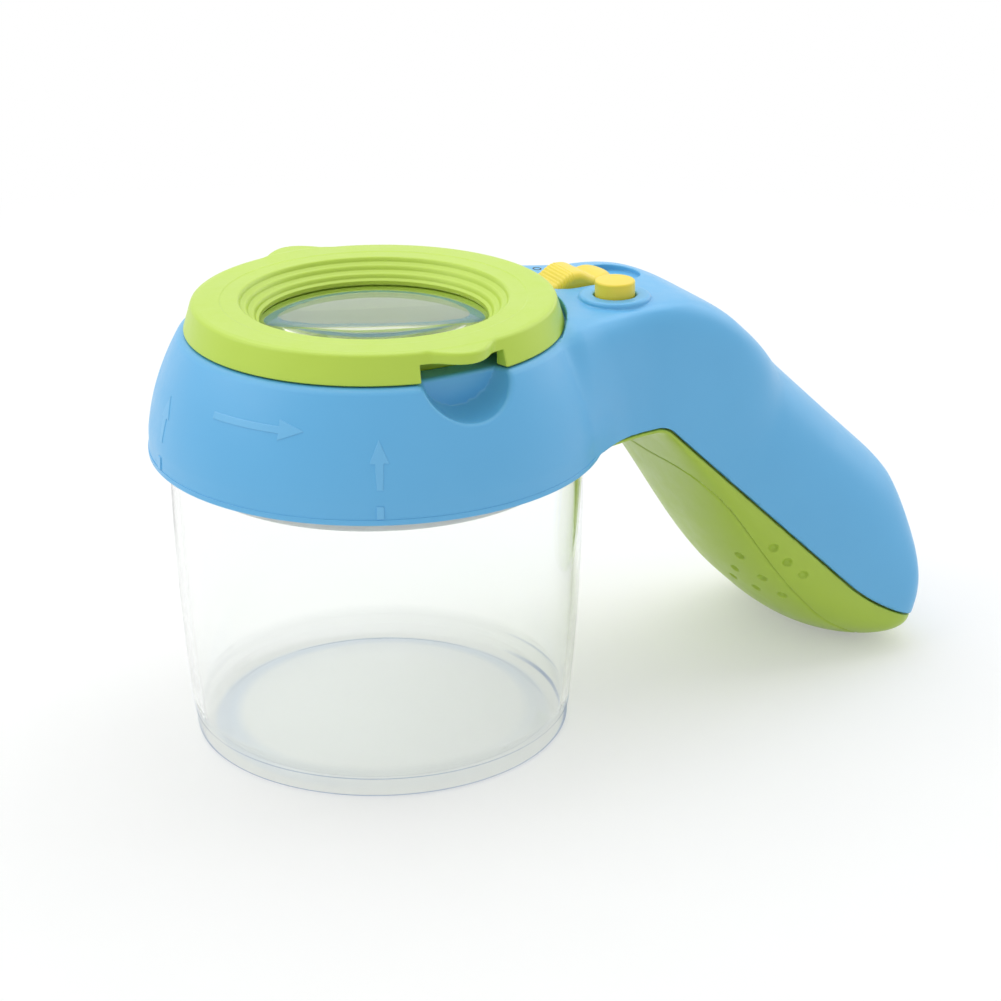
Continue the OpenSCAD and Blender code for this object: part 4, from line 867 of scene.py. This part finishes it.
def build():
    form("upper_moulding", upper,
         [axis((-46.2, 36, 0.6), (36, 65, 0.3), (65, 121, 0.6)),
          axis((-46.4, -20.1, 0.6), (-20.1, 14.1, 0.3), (14.1, 46.5, 0.6)),
          axis((-0.6, 58.8, 0.6), (58.8, 61.8, 0.3), (61.8, 80.4, 0.6), (80.4, 87, 0.3))],
         "head", "blue_plastic", "upper_shell", share=0.3)
    form("lower_moulding", lower, [axis((35, 121.4, 0.38)), axis((-29, 29, 0.38)), axis((-2, 64, 0.38))],
         "head", "green_plastic", "lower_shell", share=0.4)
    form("battery_cover", door, [axis((54, 118, 0.33)), axis((-23, 23, 0.33)), axis((-2, 58, 0.33))],
         "head", "green_plastic", "battery_door", share=0.4)
    form("magnifier_ring", lens_ring,
         [axis((21.5, 42.1, 0.24)), np.linspace(0, 2 * math.pi, 385), axis((75.4, 89.9, 0.25))],
         "magnifier", "lime_plastic", "lens_ring", share=0.35, turned=True)
    form("light_slider_knob", knob,
         [axis((37.7, 55.2, 0.17)), axis((-1.2, 10, 0.2)), axis((77.1, 89.2, 0.17))],
         "light_slider", "yellow_plastic", "slide_knob", share=0.6)
    arrow, dash, turn = outline(UP_ARROW, 3), outline(DASH, 3), outline(TURN_ARROW, 3)
    for name, shape, middle, wide, z0, z1 in (
            ("arrow_front", arrow, -113.6, 3.2, 65.8, 76), ("dash_front", dash, -113.6, 1.6, 60.4, 64),
            ("arrow_side", arrow, 178.6, 3.2, 65.8, 76), ("dash_side", dash, 178.2, 1.6, 60.4, 64),
            ("arrow_turn", turn, -146.15, 14.6, 73.5, 78.5)):
        mark = form(name, mark_field(shape, middle, 0.13), mark_box(middle, wide, z0, z1),
                    "head", "blue_plastic")
        # The raised marks take the lighter blue, a painted highlight
        mark.data.materials[0] = RAISED_HIGHLIGHT

    def oval(x, y):
        return np.abs((np.hypot(x / 0.72, y / 0.95) - 1) * 0.8) - 0.17

    def bar(x, y):
        return np.maximum(np.abs(x) - 0.2, np.abs(y) - 1.0)
    for name, shape, cx, cy in (("mark_off", oval, 43.0, 13.8), ("mark_on", bar, 50.4, 14.3)):
        form(name, print_field(shape, cx, cy),
             [axis((cx - 2, cx + 2, 0.09)), axis((cy - 1.6, cy + 1.6, 0.09)), axis((84.2, 85.7, 0.04))],
             "head", "black_plastic")

    # The cup: foot, outside up to the rim, and inside down to the floor
    wall = 1.6

    def jar_r(z):
        return 38 + 3 * (1 - max(0, 1 - z / 59.85) ** 2.3)
    heights = [6.5, *range(9, 58, 3), 59.8, 61, 62.28, 62.36, 63.84, 63.92, 65]
    lines = [(0, 1.4), (31.8, 1.4, 0.8), (34.2, 0, 0.5), (38, 0, 0.8)]
    lines += [(jar_r(4.05) - 0.25, 4.05, 0.12), (jar_r(4.3), 4.3, 0.15)]
    lines += [(jar_r(z), z) for z in heights] + [(41, 66.5, 0.6), (39.4, 66.5, 0.6)]
    lines += [(jar_r(z) - wall, z) for z in heights[::-1] if z < 60.5]
    lines += [(jar_r(3.2) - wall, 3.2, 3), (0, 3.2)]

    def lugs(r, z, t):
        """How far the four locking lugs stand out of the wall."""
        if r < 40.6 or not 62.3 < z < 63.9:
            return 0
        a = abs((math.degrees(t) + 45) % 90 - 45)
        return 1.2 * float(ease((8.2 - a) / 1.6))
    cup = lathe("jar_cup", lines, 0.3, "jar", "clear_plastic", "jar", push=lugs, turns=256, bend=7)
    cup.data.materials[0] = CUP

    # The lens: its lower face up to the rim, the rim's step, and its upper face
    curve, low_z, rim_z, rim_r, face_r = 110, 79.245, 84.4, 26.15, 22.1
    top = math.sqrt(curve ** 2 - face_r ** 2)
    lens = [(0, low_z)]
    lens += [(rim_r * i / 40, low_z + curve - math.sqrt(curve ** 2 - (rim_r * i / 40) ** 2))
             for i in range(1, 41)]
    lens += [(rim_r, rim_z, 0.2), (face_r, rim_z, 0.3)]
    lens += [(face_r * i / 40, rim_z + math.sqrt(curve ** 2 - (face_r * i / 40) ** 2) - top)
             for i in range(38, 0, -1)]
    lathe("lens", lens + [(0, rim_z + curve - top)], 0.2, "magnifier", "clear_plastic", "magnifier_lens")

    lathe("collar_bead", [(43.6, 59.6, 0.1), (44.97, 59.6, 0.4), (44.96, 60.8, 0.1), (43.6, 60.8, 0.1)], 0.1,
          "head", "blue_plastic", turns=288)
    lathe("light_diffuser", [(35.4, 55.3, 0.5), (37.2, 55.3, 0.7), (37.2, 71, 0.4), (32.3, 71, 0.5),
                             (32.3, 75.5, 0.3), (31.1, 75.5, 0.3), (31.1, 69.4, 0.4), (35.4, 69.4, 0.6)], 0.4,
          "head", "frosted_plastic", "light_ring")
    lathe("lamp_socket", [(2.8, 70.9), (3.8, 70.9), (3.8, 74.6), (2.8, 74.6)], 0.2, "head", "frosted_plastic",
          turns=64, centre=(34.9, 0))
    lathe("button_cap", [(0, 79.55), (2.2, 79.55, 0.2), (2.2, 81.25, 0.2), (5.2, 81.25, 0.2), (5.2, 82.25, 0.2),
                         (4, 82.25, 0.2), (4, 88.95, 0.45), (2.6, 89.05, 1), (0, 89.05)], 0.3,
          "button", "yellow_plastic", "push_button", turns=128, centre=BUTTON)


build()

# ---------------------------------------------------------------- floor, lights and sky
def looked_at(t):
    """1 for what is seen straight, in a gloss or through the clear pieces, 0 for light on its way."""
    path = t.nodes.new("ShaderNodeLightPath")
    most = path.outputs["Is Camera Ray"]
    for kind in ("Is Glossy Ray", "Is Transmission Ray"):
        both = t.nodes.new("ShaderNodeMath")
        both.operation = "MAXIMUM"
        link(t, most, both.inputs[0])
        link(t, path.outputs[kind], both.inputs[1])
        most = both.outputs["Value"]
    return most


# White paper that fades into plain white away from the part
m, t = fresh("paper")
out = t.nodes.new("ShaderNodeOutputMaterial")
d = t.nodes.new("ShaderNodeBsdfDiffuse")
c = t.nodes.new("ShaderNodeTexCoord").outputs["Object"]
ramp = t.nodes.new("ShaderNodeMix")
ramp.data_type = "RGBA"
ramp.inputs["A"].default_value = (0.93, 0.935, 0.925, 1)
ramp.inputs["B"].default_value = (0.95, 0.955, 0.945, 1)
link(t, noise(t, c, 40, 3), ramp.inputs["Factor"])
link(t, ramp.outputs["Result"], d.inputs["Color"])
white = t.nodes.new("ShaderNodeEmission")
away = t.nodes.new("ShaderNodeVectorMath")
away.operation = "LENGTH"
link(t, c, away.inputs[0])
seen = t.nodes.new("ShaderNodeMath")
seen.operation = "MULTIPLY"
link(t, remap(t, away.outputs["Value"], 0.12, 0.42, 0.34, 1), seen.inputs[0])
link(t, looked_at(t), seen.inputs[1])
link(t, blend(t, seen.outputs["Value"], d.outputs["BSDF"], white.outputs["Emission"]), out.inputs["Surface"])
me = bpy.data.meshes.new("floor")
HALF, UNDER_FOOT = 3.0, 0.00005
me.from_pydata([(-HALF, -HALF, 0), (HALF, -HALF, 0), (HALF, HALF, 0), (-HALF, HALF, 0)], [], [(0, 1, 2, 3)])
floor = bpy.data.objects.new("floor", me)
floor.location.z = cad_box[0][2] - UNDER_FOOT
me.materials.append(m)
bpy.context.scene.collection.objects.link(floor)

world = bpy.data.worlds.new("sky")
bpy.context.scene.world = world
world.use_nodes = True
sky = world.node_tree.nodes["Background"]
sky.inputs["Color"].default_value = (1, 1, 1, 1)
# How strong the sky is as light; looked at, it is plain white
SKY_LIGHT = 0.62
tree = world.node_tree
link(tree, remap(tree, looked_at(tree), 0, 1, SKY_LIGHT, 1), sky.inputs["Strength"])


AIM = (0.03, 0, 0.03)


def lamp(name, at, side, watts):
    """A square soft light turned to the part."""
    data = bpy.data.lights.new(name, "AREA")
    data.shape = "RECTANGLE"
    data.size = data.size_y = side
    data.energy = watts
    ob = bpy.data.objects.new(name, data)
    ob.location = at
    ob.rotation_euler = (Vector(AIM) - Vector(at)).to_track_quat("-Z", "Y").to_euler()
    bpy.context.scene.collection.objects.link(ob)


lamp("left", (-0.8, 0.25, 0.7), 0.9, 3.0)
lamp("right", (0.9, 0.15, 0.6), 0.9, 2.3)
lamp("over", (0.1, 0.35, 1.0), 1.1, 4.9)

bpy.context.scene.view_settings.view_transform = "Standard"
